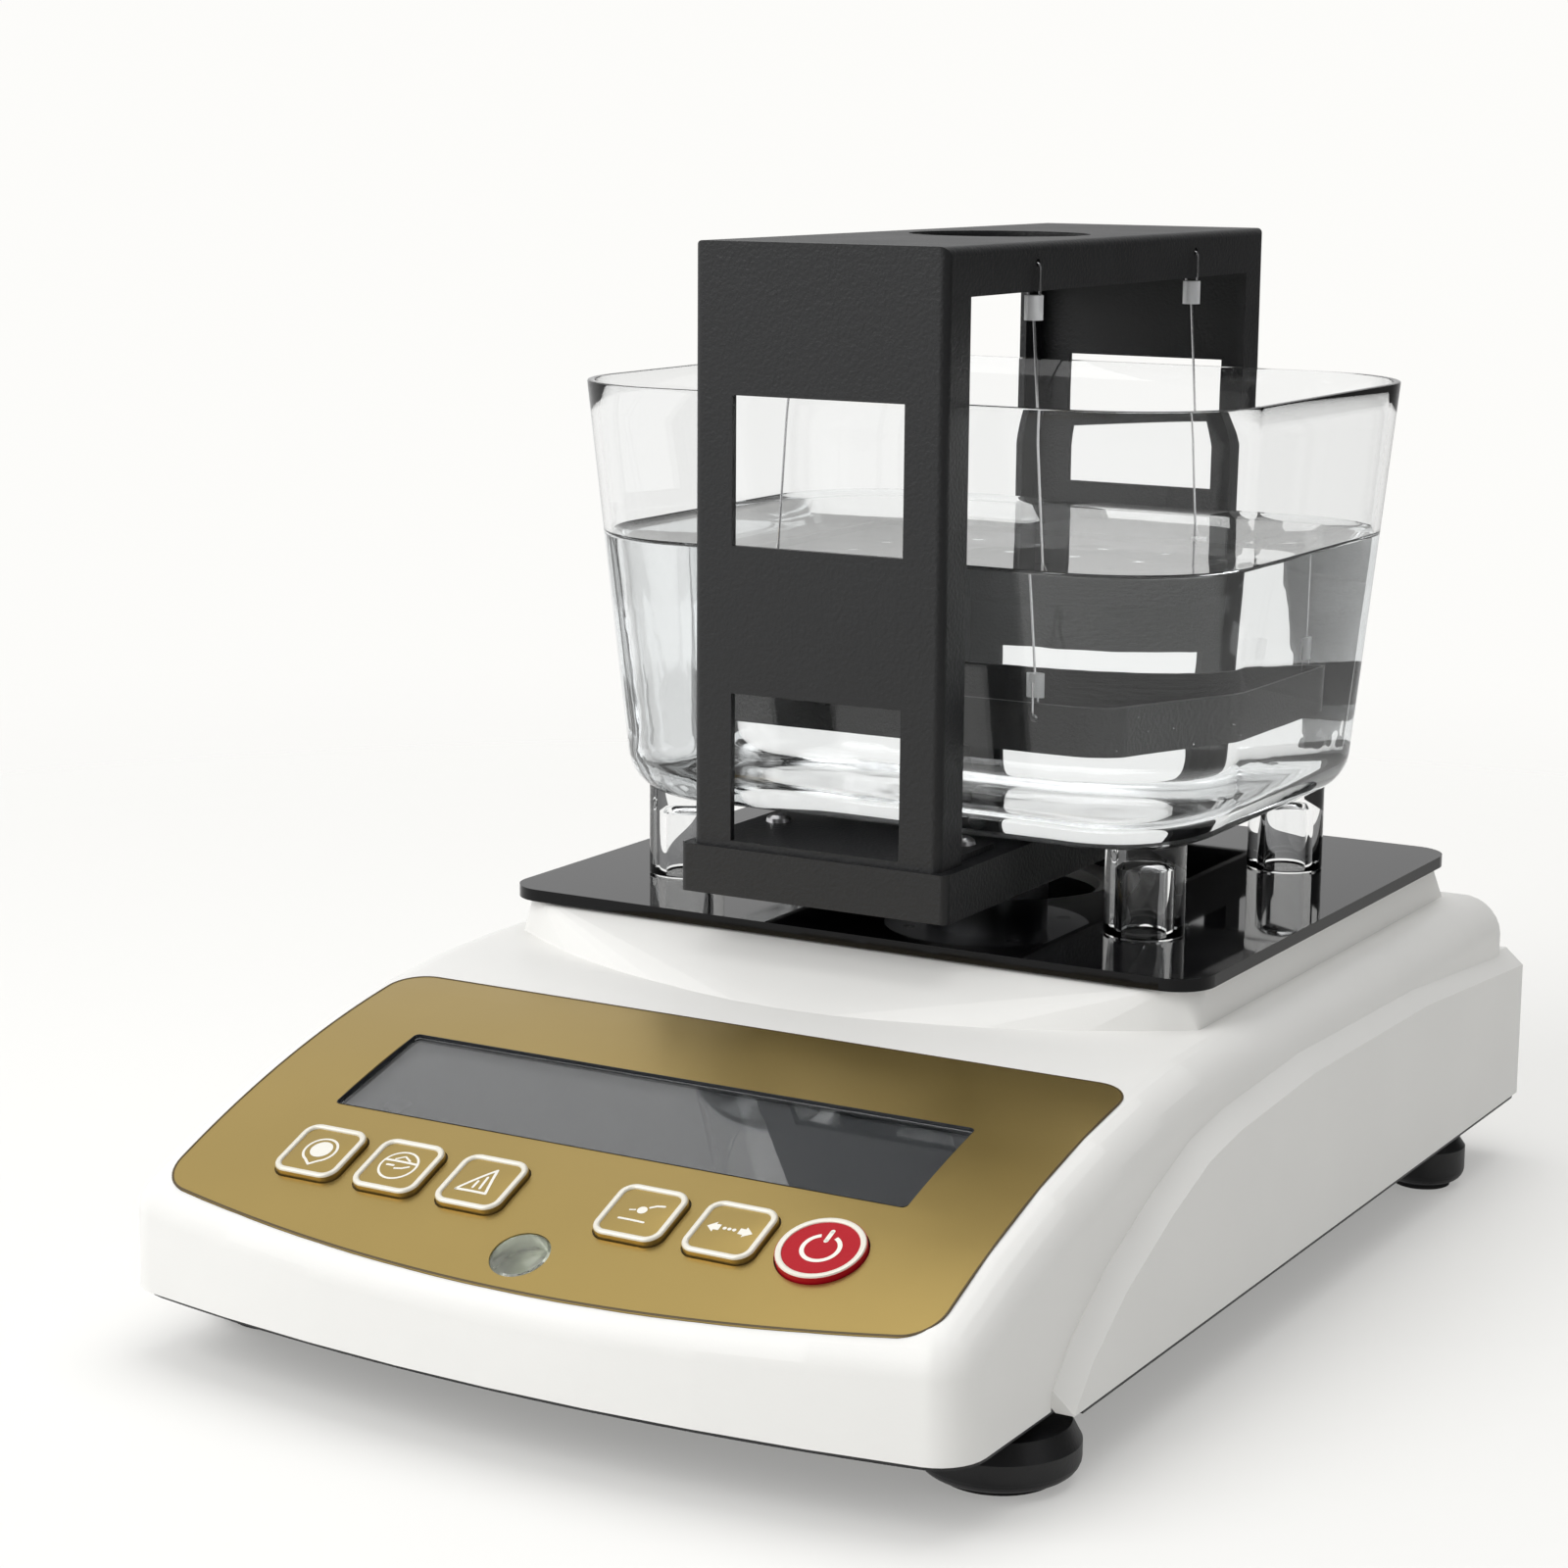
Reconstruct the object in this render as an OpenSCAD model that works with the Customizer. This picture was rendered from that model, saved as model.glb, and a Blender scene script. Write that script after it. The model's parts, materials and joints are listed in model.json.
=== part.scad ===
// Electronic gold tester: a density balance that weighs a sample in air and in a tank of water.
// Millimetres. X to the right, Y to the back, Z up. The origin is the middle of the footprint on
// the table. The operator stands at -Y.

/* [Housing] */
// Length of the housing, front to back
body_d = 270; // [262:1:280]
// Half width of the upper shell at the front
shell_hw = 87.5; // [86.5:0.5:89]
// Half width of the upper shell at the back
shell_hw_back = 89; // [88.5:0.5:90]
// How far the side skirt stands proud of the shell
skirt_proud = 3; // [2:0.25:4]
// Height of the cover's lower edge above the table
cover_z = 13.75; // [13.5:0.25:15]
// Height of the flat deck
deck_z = 59.4; // [58:0.2:61]
// Height at which the arched panel would meet the front edge
nose_z = 29.33; // [28.6:0.01:30.2]
// Place where the arch leaves the flat deck
arch_y = -14; // [-16:0.5:-12]
// Radius of the soft outer edges
edge_r = 9; // [8.5:0.5:10]
// Radius of the bowed front in plan
bow_r = 444; // [400:2:500]
// Wall of the moulded cover
wall = 2.5; // [2:0.1:2.8]
// Thickness of the bottom tray
tray_t = 2; // [1.8:0.1:2.4]

/* [Plinth and platform] */
// Height of the plinth's top face
plinth_z = 67.2; // [66:0.2:69]
// Half width of the plinth
plinth_hw = 76.2; // [74:0.2:77]
// Radius of the bowed crease in front of the plinth
crease_r = 132; // [120:1:150]
// Half width of the platform plate
plate_hw = 78.3; // [77.5:0.1:82]
// Half depth of the platform plate
plate_hd = 70; // [68:0.5:71]
// Thickness of the platform plate
plate_t = 2.5; // [2:0.1:3]
// Radius of the hole in the platform plate
plate_hole_r = 30; // [28:0.5:33]

/* [Front panel] */
// Half width of the overlay
overlay_hw = 80; // [76:0.5:80]
// Thickness of the overlay
overlay_t = 0.5; // [0.3:0.05:0.7]
// Half width of the display window
window_hw = 60.5; // [56:0.5:61]
// Half height of the display window
window_hh = 13.35; // [12:0.05:13.5]
// Side of a square key
key_w = 14; // [12:0.1:14.4]
// Radius of the power key
power_r = 8; // [7:0.1:8.2]
// How far a key stands proud of the panel
key_proud = 0.9; // [0.6:0.1:1.4]
// Travel of a key
key_travel = 0.5; // [0.3:0.05:0.5]
// Radius of the spirit level
vial_r = 5.5; // [4.5:0.1:6]

/* [Weighing frame] */
// Distance from the origin back to the pan axis
pan_y = 52; // [50:0.5:54]
// Half width of the portal frame
portal_hw = 27.5; // [26:0.5:28]
// Half depth of the portal frame
portal_hd = 75.6; // [74.6:0.1:76.4]
// Height of the portal frame's top
portal_z = 204.1; // [200:0.1:210]
// Sheet thickness of the frame
sheet = 1.5; // [1.2:0.1:1.8]
// Depth of the folded side flanges
flange = 9.5; // [8.5:0.1:10]
// Half width of the windows in the columns
hatch_hw = 18.8; // [16:0.1:20]
// Half width of the frame base
base_hw = 29.8; // [29.2:0.1:32]
// Height of the frame base
base_h = 9.6; // [8.5:0.1:10]
// Height of the frame base's top
base_top = 85.9; // [85.4:0.1:86.2]
// Radius of the dish for weighing in air
dish_r = 18.8; // [16:0.1:20]
// Travel of the weighing frame under full load
pan_travel = 0.4; // [0.2:0.05:0.45]

/* [Water tank] */
// Half width of the rim
rim_hw = 74; // [71:0.5:78]
// Half depth of the rim
rim_hd = 63; // [61.5:0.1:64]
// Height of the rim
rim_z = 174.2; // [165:0.2:180]
// Height of the tank's underside
tank_z = 87.5; // [87.2:0.1:90]
// Wall of the tank
tank_t = 2; // [1.6:0.1:2.6]
// Radius of the tube feet
tube_r = 8; // [7:0.1:9]

/* [Weighing tray] */
// Half width of the submerged tray
tray_hw = 46; // [40:0.5:50]
// Half depth of the submerged tray
tray_hd = 38.75; // [36:0.25:40]
// Height of the submerged tray's underside
tray_z = 105.5; // [103:0.1:110]
// Height of the tray's wall
tray_h = 9.9; // [8:0.1:12]
// Radius of the hanger wire
wire_r = 0.25; // [0.2:0.01:0.35]

/* [Load cell] */
// Length of the load cell
cell_l = 100; // [96:1:104]
// Width of the load cell
cell_w = 22; // [18:0.5:26]
// Height of the load cell
cell_h = 20; // [18:0.5:21]

/* [Feet] */
// Radius of the front knobs
front_knob_r = 14.3; // [12:0.1:14.6]
// Radius of the rear knobs
rear_knob_r = 9; // [8:0.1:10]
// Radius of the foot's threaded stud
stud_r = 3; // [2.5:0.1:3.5]
// Distance from the middle to the front feet
front_foot_x = 77; // [75:0.5:77.5]
// Distance from the middle to the rear feet
rear_foot_x = 82; // [80:0.5:82.5]

/* [Hidden] */
$fn = 48;

// ---- clearances ----
fit_gap = 0.05;      // radial gap of a shaft in its bore, or of a press-in part
seat_gap = 0.15;     // gap round a part that drops into a pocket
key_gap = 0.3;       // gap round a key
lip_gap = 0.3;       // gap between the tray's lip and the cover
sole_gap = 0.1;      // gap between a knob and its rubber sole
cut = 1;             // how far a cutting shape runs past a face

// ---- derived sizes of the housing ----
front_y = -body_d / 2;
back_y = body_d / 2;
arch_drop = deck_z - nose_z;
arch_r = (pow(arch_y - front_y, 2) + pow(arch_drop, 2)) / (2 * arch_drop);
arch_cz = deck_z - arch_r;
skirt_hw = shell_hw_back + skirt_proud;
nose_y = front_y + edge_r;
crease_rise = 3.5;
crease_in = 4;
// Upper edge of the proud side skirt, as (y, z), from the back to the front
crease = [
    [back_y, 43.2], [73, 47.6], [10, 48.2], [-26, 46], [-40, 43.8],
    [-56, 38.2], [-74.5, 30], [-88, 21.2], [-95, cover_z]
];
skirt_front = -90;
plinth_front = arch_y;
plinth_back = pan_y + 71.5;
plinth_apex = -36;
plinth_corner = 8;
post_hole_r = 24;
tray_bottom = 12.5;
tray_top = tray_bottom + tray_t;
lip_h = 4;
lip_t = 1.8;

// ---- front panel ----
overlay_top_y = -47;
overlay_apex = -132;
overlay_bow_r = 415;
overlay_corner = 7;
pocket_d = overlay_t + 0.1;
window_y = -84.4;
window_t = 1.5;
window_sink = 0.95;
frame_rim = 4;
frame_drop = 5;
key_y = -111.4;
key_x = [-52.8, -35.2, -17, 16.5, 34.5];
power_x = 52.3;
key_corner = 3;
key_flange = 1.2;
key_flange_t = 0.8;
key_seat = wall + 0.4;
stem_r = 2;
stem_l = 1.7;
switch_w = 6;
switch_h = 3.5;
plunger_r = 1.7;
plunger_h = 0.8;
press_gap = key_travel + 0.1;
board_t = 1.6;
key_board_top = key_seat + key_flange_t + stem_l + press_gap + plunger_h + switch_h;
key_board_hw = 68;
key_post_x = [-65, 0, 65];
key_post_a = 2.5;
vial_y = -124.6;
vial_l = 8;
lcd_board_hw = 72;
lcd_h = 4;
lcd_post_x = 68.5;
lcd_post_a = 13.2;
post_r = 3;
small_screw_r = 1.2;
small_head_r = 2.4;
small_head_h = 1.4;

// ---- fixing bosses: (x, y, height of the top) ----
boss_r = 4;
boss_places = [[74, -108, 39], [80, 0, 57.2], [82, 118, 55.5]];
cover_screw_r = 1.5;
cover_head_r = 3;
cover_head_h = 1.2;

// ---- boards in the housing ----
standoff_h = 7.5;
board_z = tray_top + standoff_h;
main_board_hw = 48;
main_board_y = [-86, -14];
plug_y = main_board_y[0] + 4;
board_inset = 5;
cell_base_y = pan_y + cell_l / 2 + 2;
port_board_x = [-66, -4];
port_board_y = [cell_base_y + 2, back_y - 7];
board_posts = concat(
    [for (s = [-1, 1], k = [0, 1]) [s * (main_board_hw - board_inset), main_board_y[k] + (1 - 2 * k) * board_inset]],
    [for (k = [0, 1]) [port_board_x[k] + (1 - 2 * k) * board_inset, port_board_y[0] + board_inset]]
);
jack_x = -52;
jack_w = 10;
jack_h = 11;
jack_bore_r = 3.25;
jack_pin_r = 1;
port_x = -22;
port_w = 16.9;
port_h = 8.4;
port_flange = [30.8, 12.5];
port_post_x = 12.5;
port_face = back_y - 0.4;

// ---- load path ----
cell_z = 25;
cell_hole_r = 2.1;
cell_screw_r = 2;
cell_eye_r = 6;
cell_eye_y = 11;
cell_end = 10;
carrier_gap = 2;
carrier_t = 3;
carrier_hw = 20;
carrier_front = pan_y - cell_l / 2;
carrier_back = pan_y + 28;
post_outer_r = 13;
post_bore_r = 9;
post_neck_r = 11;
post_flange_r = 22;
post_flange_t = 3;
stop_gap = pan_travel + 0.1;

// ---- weighing frame ----
base_hd = portal_hd + 1.1;
hatch_low = [base_top + 1.4, base_top + 30.8];
hatch_high = [145.7, 174.8];
tab_t = 1.2;
tab_in = 49;
frame_screw_x = 21;
frame_screw_y = 53;
frame_screw_r = 1.5;
dish_depth = 6;
dish_wall = 0.8;
dish_lip = 4;
wire_hole_r = 0.8;
wire_hole_z = portal_z - 4;
wire_y = 38;
wire_top_x = portal_hw - sheet / 2;
wire_low_x = 31.5;
wire_low_z = tray_z + 6.9;
loop_top_r = sheet / 2 + 0.5;
loop_low_r = sheet / 2 + 0.85;
crimp_r = 1.85;
crimp_h = 4.8;
crimp_grip = 3;
crimp_top_z = portal_z - flange - 0.8;
crimp_low_z = tray_z + tray_h + 1.2;

// ---- tank ----
plate_top = plinth_z + plate_t;
rim_corner = 29;
foot_half = [rim_hw - 5.7, rim_hd - 8];
foot_corner = 27;
tank_fillet = 10;
tube_at = [53, 36.5];
tube_bore_r = 4.5;

// ---- feet ----
front_foot_y = -93;
rear_foot_y = 102.6;
sole_t = 1;
knob_z = sole_t + sole_gap;
peg_r = 3;
peg_l = 4;
stud_top = 24;
collar_r = 5;
insert_r = 4.5;
insert_top = 22.5;
foot_boss_r = 6.5;

// ================= shared shapes =================

// Height and slope of the arched deck at y
function arch_ang(y) = y > arch_y ? 0 : asin((arch_y - y) / arch_r);
function arch_h(y) = y > arch_y ? deck_z : arch_cz + arch_r * cos(arch_ang(y));

// Place (y, z) of a point that lies a along and h above the arch at y
function deck_point(y, a, h) = [
    y + a * cos(arch_ang(y)) - h * sin(arch_ang(y)),
    arch_h(y) + a * sin(arch_ang(y)) + h * cos(arch_ang(y))
];

// Half width of the upper shell at y
function shell_at(y) = shell_hw + (shell_hw_back - shell_hw) * (y - nose_y) / (back_y - edge_r - nose_y);

function arc(c, r, a0, a1, n) =
    [for (i = [0 : n]) [c[0] + r * cos(a0 + (a1 - a0) * i / n), c[1] + r * sin(a0 + (a1 - a0) * i / n)]];

// Outline with a straight back, round corners and a bowed front
module bowed_outline(hw, y_back, apex, bow, corner) {
    bow_c = apex + bow;
    cy = bow_c - sqrt(pow(bow - corner, 2) - pow(hw - corner, 2));
    tilt = atan2(cy - bow_c, hw - corner);
    right = concat(
        arc([hw - corner, cy], corner, tilt, 0, 6),
        arc([hw - corner, y_back - corner], corner, 0, 90, 6));
    left = [for (i = [len(right) - 1 : -1 : 0]) [-right[i][0], right[i][1]]];
    polygon(concat(right, left, arc([0, bow_c], bow, 180 - tilt, 360 + tilt, 24)));
}

module round_rect(hx, hy, r) {
    square([2 * hx, 2 * (hy - r)], center = true);
    square([2 * (hx - r), 2 * hy], center = true);
    for (x = [-1, 1], y = [-1, 1]) translate([x * (hx - r), y * (hy - r)]) circle(r);
}

module round_slab(hx, hy, r, z0, z1) {
    translate([0, 0, z0]) linear_extrude(z1 - z0) round_rect(hx, hy, r);
}

module block(x, y, z) {
    translate([x[0], y[0], z[0]]) cube([x[1] - x[0], y[1] - y[0], z[1] - z[0]]);
}

module upright(x, y, r, z0, z1) {
    translate([x, y, z0]) cylinder(r = r, h = z1 - z0);
}

// Round bar between two points
module rod(p, q, r) {
    d = q - p;
    translate(p) rotate([0, acos(d[2] / norm(d)), atan2(d[1], d[0])]) cylinder(r = r, h = norm(d), $fn = 16);
}

// Places its children on the arched deck at y, with +Z square to the surface
module on_deck(y) {
    translate([0, y, arch_h(y)]) rotate([arch_ang(y), 0, 0]) children();
}

// Solid cylinder under the arched deck, lowered by d
module under_arch(d) {
    translate([0, arch_y, arch_cz]) rotate([0, 90, 0])
        cylinder(r = arch_r - d, h = 4 * shell_hw, center = true, $fn = 360);
}

module mirrored_x() {
    for (s = [-1, 1]) scale([s, 1, 1]) children();
}

// ================= housing =================

function bow_at(x, r) = front_y + bow_r - sqrt(pow(bow_r - r, 2) - x * x);

// Upper shell, all surfaces moved in by d
module shell_form(d, z0) {
    r = edge_r - d;
    corner_x = shell_hw - edge_r;
    corner_y = bow_at(corner_x, edge_r);
    side = [for (i = [0 : 6]) corner_y + (arch_y - corner_y) * i / 6];
    bow = [for (i = [-4 : 4]) [corner_x * i / 4, bow_at(corner_x * i / 4, edge_r)]];
    hull() {
        for (y = concat(side, [back_y - edge_r])) {
            h = y >= arch_y ? deck_z - edge_r : arch_cz + sqrt(pow(arch_r - edge_r, 2) - pow(y - arch_y, 2));
            for (s = [-1, 1]) translate([s * (shell_at(y) - edge_r), y, h]) sphere(r, $fn = 32);
        }
        for (p = bow) {
            h = arch_cz + sqrt(pow(arch_r - edge_r, 2) - pow(p[1] - arch_y, 2));
            translate([p[0], p[1], h]) sphere(r, $fn = 32);
            translate([p[0], p[1], z0]) cylinder(r = r, h = 1, $fn = 32);
        }
        for (s = [-1, 1]) translate([s * (shell_hw_back - edge_r), back_y - edge_r, z0])
            cylinder(r = r, h = 1, $fn = 32);
    }
}

// Proud side skirt, moved in by d
module skirt_form(d, z0) {
    edge = [for (p = crease) [min(p[0], back_y - d), max(p[1] - d, z0 + 0.1)]];
    raised = [for (p = edge) [p[0], p[1] + crease_rise]];
    hull() {
        skirt_slab(edge, skirt_hw - d, z0);
        skirt_slab(raised, skirt_hw - crease_in - d, z0);
    }
}

module skirt_slab(edge, hw, z0) {
    translate([-hw, 0, 0]) rotate([90, 0, 90]) linear_extrude(2 * hw)
        polygon(concat(edge, [[edge[len(edge) - 1][0], z0], [edge[0][0], z0]]));
}

// Raised plinth with its bowed front slope, moved in by d
module plinth_form(d, z0) {
    slope_z = arch_h(plinth_apex) - 0.2;
    hw = plinth_hw + 0.6 - d;
    mid_y = (plinth_front + plinth_back) / 2;
    half_y = (plinth_back - plinth_front) / 2;
    front = [for (i = [-8 : 8]) [hw * i / 8, plinth_apex + d + crease_r - sqrt(pow(crease_r, 2) - pow(hw * i / 8, 2))]];
    hull() {
        translate([0, mid_y, 0]) round_slab(plinth_hw - d, half_y - d, plinth_corner - d, plinth_z - d - 1, plinth_z - d);
        translate([0, 0, z0]) linear_extrude(slope_z - z0 - d)
            polygon(concat(front, [[hw, plinth_back - d], [-hw, plinth_back - d]]));
    }
}

module cover_shell() {
    difference() {
        union() {
            shell_form(0, cover_z);
            skirt_form(0, cover_z);
            plinth_form(0, deck_z - 6);
        }
        shell_form(wall, cover_z - cut);
        skirt_form(wall, cover_z - cut);
        plinth_form(wall, deck_z - 12);
    }
}

// Screw bosses that reach down to the tray, and the posts that carry the display and key boards
module cover_bosses() {
    mirrored_x() for (b = boss_places) upright(b[0], b[1], boss_r, tray_top, b[2]);
    on_deck(window_y) {
        translate([0, 0, -frame_drop]) linear_extrude(frame_drop - wall + 0.6)
            round_rect(window_hw + frame_rim, window_hh + frame_rim - 0.6, 2);
        for (x = [-1, 1], a = [-1, 1])
            translate([x * lcd_post_x, a * lcd_post_a, -frame_drop - lcd_h]) cylinder(r = post_r, h = frame_drop + lcd_h - 1);
    }
    on_deck(key_y) for (x = key_post_x)
        translate([x, key_post_a, -key_board_top]) cylinder(r = post_r, h = key_board_top - 1);
    on_deck(vial_y) translate([0, 0, -vial_l - 2.5]) cylinder(r = vial_r + 2, h = vial_l + 1.5);
}

module cover_openings() {
    // pocket for the overlay
    difference() {
        translate([0, 0, cover_z]) linear_extrude(deck_z)
            bowed_outline(overlay_hw + seat_gap, overlay_top_y + seat_gap, overlay_apex - seat_gap,
                overlay_bow_r, overlay_corner);
        under_arch(pocket_d);
    }
    on_deck(window_y) {
        translate([0, 0, -window_sink - window_t]) linear_extrude(10)
            round_rect(window_hw + seat_gap, window_hh + seat_gap, 1);
        translate([0, 0, -20]) linear_extrude(30) round_rect(window_hw - 2, window_hh - 2, 1);
        for (x = [-1, 1], a = [-1, 1])
            translate([x * lcd_post_x, a * lcd_post_a, -frame_drop - lcd_h - cut])
                cylinder(r = small_screw_r + fit_gap, h = lcd_h + cut);
    }
    on_deck(key_y) {
        for (x = key_x) translate([x, 0, -8]) linear_extrude(12)
            round_rect(key_w / 2 + key_gap, key_w / 2 + key_gap, key_corner + key_gap);
        translate([power_x, 0, -8]) cylinder(r = power_r + key_gap, h = 12);
        for (x = key_post_x) translate([x, key_post_a, -key_board_top - cut])
            cylinder(r = small_screw_r + fit_gap, h = 6 + cut);
    }
    on_deck(vial_y) translate([0, 0, -vial_l]) cylinder(r = vial_r + fit_gap, h = vial_l + 5);
    upright(0, pan_y, post_hole_r, deck_z - 12, plinth_z + cut);
    mirrored_x() for (b = boss_places)
        upright(b[0], b[1], cover_screw_r + fit_gap, tray_top - cut, tray_top + 12);
    rear_openings();
}

module rear_openings() {
    y = [back_y - wall - cut, back_y + cut];
    z0 = board_z + board_t;
    block([jack_x - jack_w / 2 - key_gap, jack_x + jack_w / 2 + key_gap], y, [z0 - key_gap, z0 + jack_h + key_gap]);
    translate([port_x, back_y + cut, z0 + port_flange[1] / 2]) rotate([90, 0, 0]) {
        linear_extrude(wall + 2 * cut) round_rect(port_w / 2 + key_gap, port_h / 2 + key_gap, 2);
        for (s = [-1, 1]) translate([s * port_post_x, 0, 0]) cylinder(r = 2.7, h = wall + 2 * cut);
    }
}

module top_cover() {
    color("whitesmoke") difference() {
        union() {
            cover_shell();
            cover_bosses();
        }
        cover_openings();
    }
}

// Plan of the space inside the cover at its lower edge, moved in by d
module inner_plan(d) {
    bowed_outline(shell_hw - wall - d, back_y - 30, front_y + wall + d, bow_r - wall - d, edge_r - wall - d);
    translate([-(skirt_hw - wall - d), skirt_front + wall + d])
        square([2 * (skirt_hw - wall - d), back_y - skirt_front - 2 * wall - 2 * d]);
}

module foot_places() {
    for (s = [-1, 1]) {
        translate([s * front_foot_x, front_foot_y, 0]) children();
        translate([s * rear_foot_x, rear_foot_y, 0]) children();
    }
}

module base_tray() {
    rim_in = 0.8;
    color("black") difference() {
        union() {
            translate([0, 0, tray_bottom]) linear_extrude(cover_z - tray_bottom) {
                bowed_outline(shell_hw - rim_in, back_y - 30, front_y + rim_in + 1, bow_r, edge_r);
                translate([rim_in - skirt_hw, skirt_front])
                    square([2 * (skirt_hw - rim_in), back_y - skirt_front - rim_in]);
            }
            translate([0, 0, tray_bottom]) linear_extrude(tray_t) inner_plan(lip_gap);
            translate([0, 0, tray_bottom]) linear_extrude(tray_t + lip_h) difference() {
                inner_plan(lip_gap);
                inner_plan(lip_gap + lip_t);
            }
            foot_places() cylinder(r = foot_boss_r, h = 26);
            for (p = board_posts) upright(p[0], p[1], post_r, tray_bottom, board_z);
        }
        translate([0, 0, -cut]) foot_places() cylinder(r = foot_boss_r + 4, h = tray_bottom + cut);
        foot_places() cylinder(r = insert_r + fit_gap, h = 40);
        mirrored_x() for (b = boss_places) {
            upright(b[0], b[1], cover_screw_r + fit_gap, 0, tray_top + cut);
            upright(b[0], b[1], cover_head_r + fit_gap, 0, tray_bottom + cover_head_h);
            upright(b[0], b[1], boss_r + lip_gap, tray_top, tray_top + lip_h + cut);
        }
        board_holes(tray_top);
        cell_holes(tray_bottom - cut, tray_top + cut);
        upright(0, carrier_front + cell_end, stud_r + fit_gap, tray_bottom - cut, tray_top + cut);
    }
}

module cover_screws() {
    color("silver") mirrored_x() for (b = boss_places) {
        upright(b[0], b[1], cover_head_r, tray_bottom, tray_bottom + cover_head_h);
        upright(b[0], b[1], cover_screw_r, tray_bottom, tray_top + 10);
    }
}

module platform_plate() {
    color("#101012") difference() {
        translate([0, plinth_front - 2 + plate_hd, 0]) round_slab(plate_hw, plate_hd, 8, plinth_z, plate_top);
        upright(0, pan_y, plate_hole_r, plinth_z - cut, plate_top + cut);
    }
}

// ================= front panel =================

module overlay_panel() {
    color("goldenrod") difference() {
        intersection() {
            translate([0, 0, cover_z]) linear_extrude(deck_z)
                bowed_outline(overlay_hw, overlay_top_y, overlay_apex, overlay_bow_r, overlay_corner);
            difference() {
                under_arch(pocket_d - fit_gap - overlay_t);
                under_arch(pocket_d - fit_gap);
            }
        }
        on_deck(window_y) translate([0, 0, -10]) linear_extrude(20)
            round_rect(window_hw + seat_gap, window_hh + seat_gap, 1);
        on_deck(key_y) {
            for (x = key_x) translate([x, 0, -8]) linear_extrude(12)
                round_rect(key_w / 2 + key_gap, key_w / 2 + key_gap, key_corner + key_gap);
            translate([power_x, 0, -8]) cylinder(r = power_r + key_gap, h = 12);
        }
        on_deck(vial_y) translate([0, 0, -vial_l]) cylinder(r = vial_r + fit_gap, h = vial_l + 5);
    }
}

module display_window() {
    color("dimgray") on_deck(window_y) translate([0, 0, -window_sink - window_t])
        linear_extrude(window_t) round_rect(window_hw, window_hh, 1);
}

module lcd_module() {
    color("darkslategray") on_deck(window_y) translate([0, 0, -frame_drop - lcd_h]) {
        linear_extrude(lcd_h) round_rect(window_hw + 1.5, window_hh + 1.5, 1);
        translate([0, 0.7, -board_t]) linear_extrude(board_t) difference() {
            round_rect(lcd_board_hw, lcd_post_a + 4, 1);
            for (x = [-1, 1], a = [-1, 1]) translate([x * lcd_post_x, a * lcd_post_a - 0.7]) circle(small_screw_r + fit_gap);
        }
    }
}

module square_key(x) {
    on_deck(key_y) translate([x, 0, 0]) {
        translate([0, 0, -key_seat]) linear_extrude(key_seat + key_proud)
            round_rect(key_w / 2, key_w / 2, key_corner);
        translate([0, 0, -key_seat - key_flange_t]) linear_extrude(key_flange_t)
            round_rect(key_w / 2 + key_flange, key_w / 2 + key_flange, key_corner + key_flange);
        translate([0, 0, -key_seat - key_flange_t - stem_l]) cylinder(r = stem_r, h = stem_l + 0.5);
    }
}

module key_1() { color("goldenrod") square_key(key_x[0]); }
module key_2() { color("goldenrod") square_key(key_x[1]); }
module key_3() { color("goldenrod") square_key(key_x[2]); }
module key_4() { color("goldenrod") square_key(key_x[3]); }
module key_5() { color("goldenrod") square_key(key_x[4]); }

module power_key() {
    color("firebrick") on_deck(key_y) translate([power_x, 0, 0]) {
        translate([0, 0, -key_seat]) cylinder(r = power_r, h = key_seat + key_proud);
        translate([0, 0, -key_seat - key_flange_t]) cylinder(r = power_r + key_flange - 0.2, h = key_flange_t);
        translate([0, 0, -key_seat - key_flange_t - stem_l]) cylinder(r = stem_r, h = stem_l + 0.5);
    }
}

// Round spirit level: a domed capsule that stands in its cup in the cover
module level_vial() {
    color("darkseagreen") on_deck(vial_y) translate([0, 0, -vial_l]) rotate_extrude()
        polygon([[0, 0], [vial_r, 0], [vial_r, vial_l - 0.3], [vial_r - 0.5, vial_l],
            [vial_r * 0.5, vial_l + 0.3], [0, vial_l + 0.4]]);
}

module keypad_board() {
    color("darkgreen") on_deck(key_y) translate([0, 0, -key_board_top - board_t]) {
        linear_extrude(board_t) difference() {
            translate([-key_board_hw, -5.5]) square([2 * key_board_hw, 13]);
            for (x = key_post_x) translate([x, key_post_a]) circle(small_screw_r + fit_gap);
        }
        translate([16, 3.5, -2.5]) cube([24, 4, 2.5]);
    }
}

module key_switches() {
    color("dimgray") on_deck(key_y) for (x = concat(key_x, [power_x])) translate([x, 0, -key_board_top]) {
        translate([-switch_w / 2, -switch_w / 2 + 0.6, 0]) cube([switch_w, switch_w, switch_h]);
        translate([0, 0, switch_h]) cylinder(r = plunger_r, h = plunger_h);
    }
}

module panel_screws() {
    color("silver") {
        on_deck(key_y) for (x = key_post_x) translate([x, key_post_a, -key_board_top - board_t]) small_screw(5);
        on_deck(window_y) for (x = [-1, 1], a = [-1, 1])
            translate([x * lcd_post_x, a * lcd_post_a, -frame_drop - lcd_h - board_t]) small_screw(board_t + 3);
    }
}

// Pan head screw with its head below z = 0 and its shank above
module small_screw(shank) {
    translate([0, 0, -small_head_h]) cylinder(r = small_head_r, h = small_head_h);
    cylinder(r = small_screw_r, h = shank);
}

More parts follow.
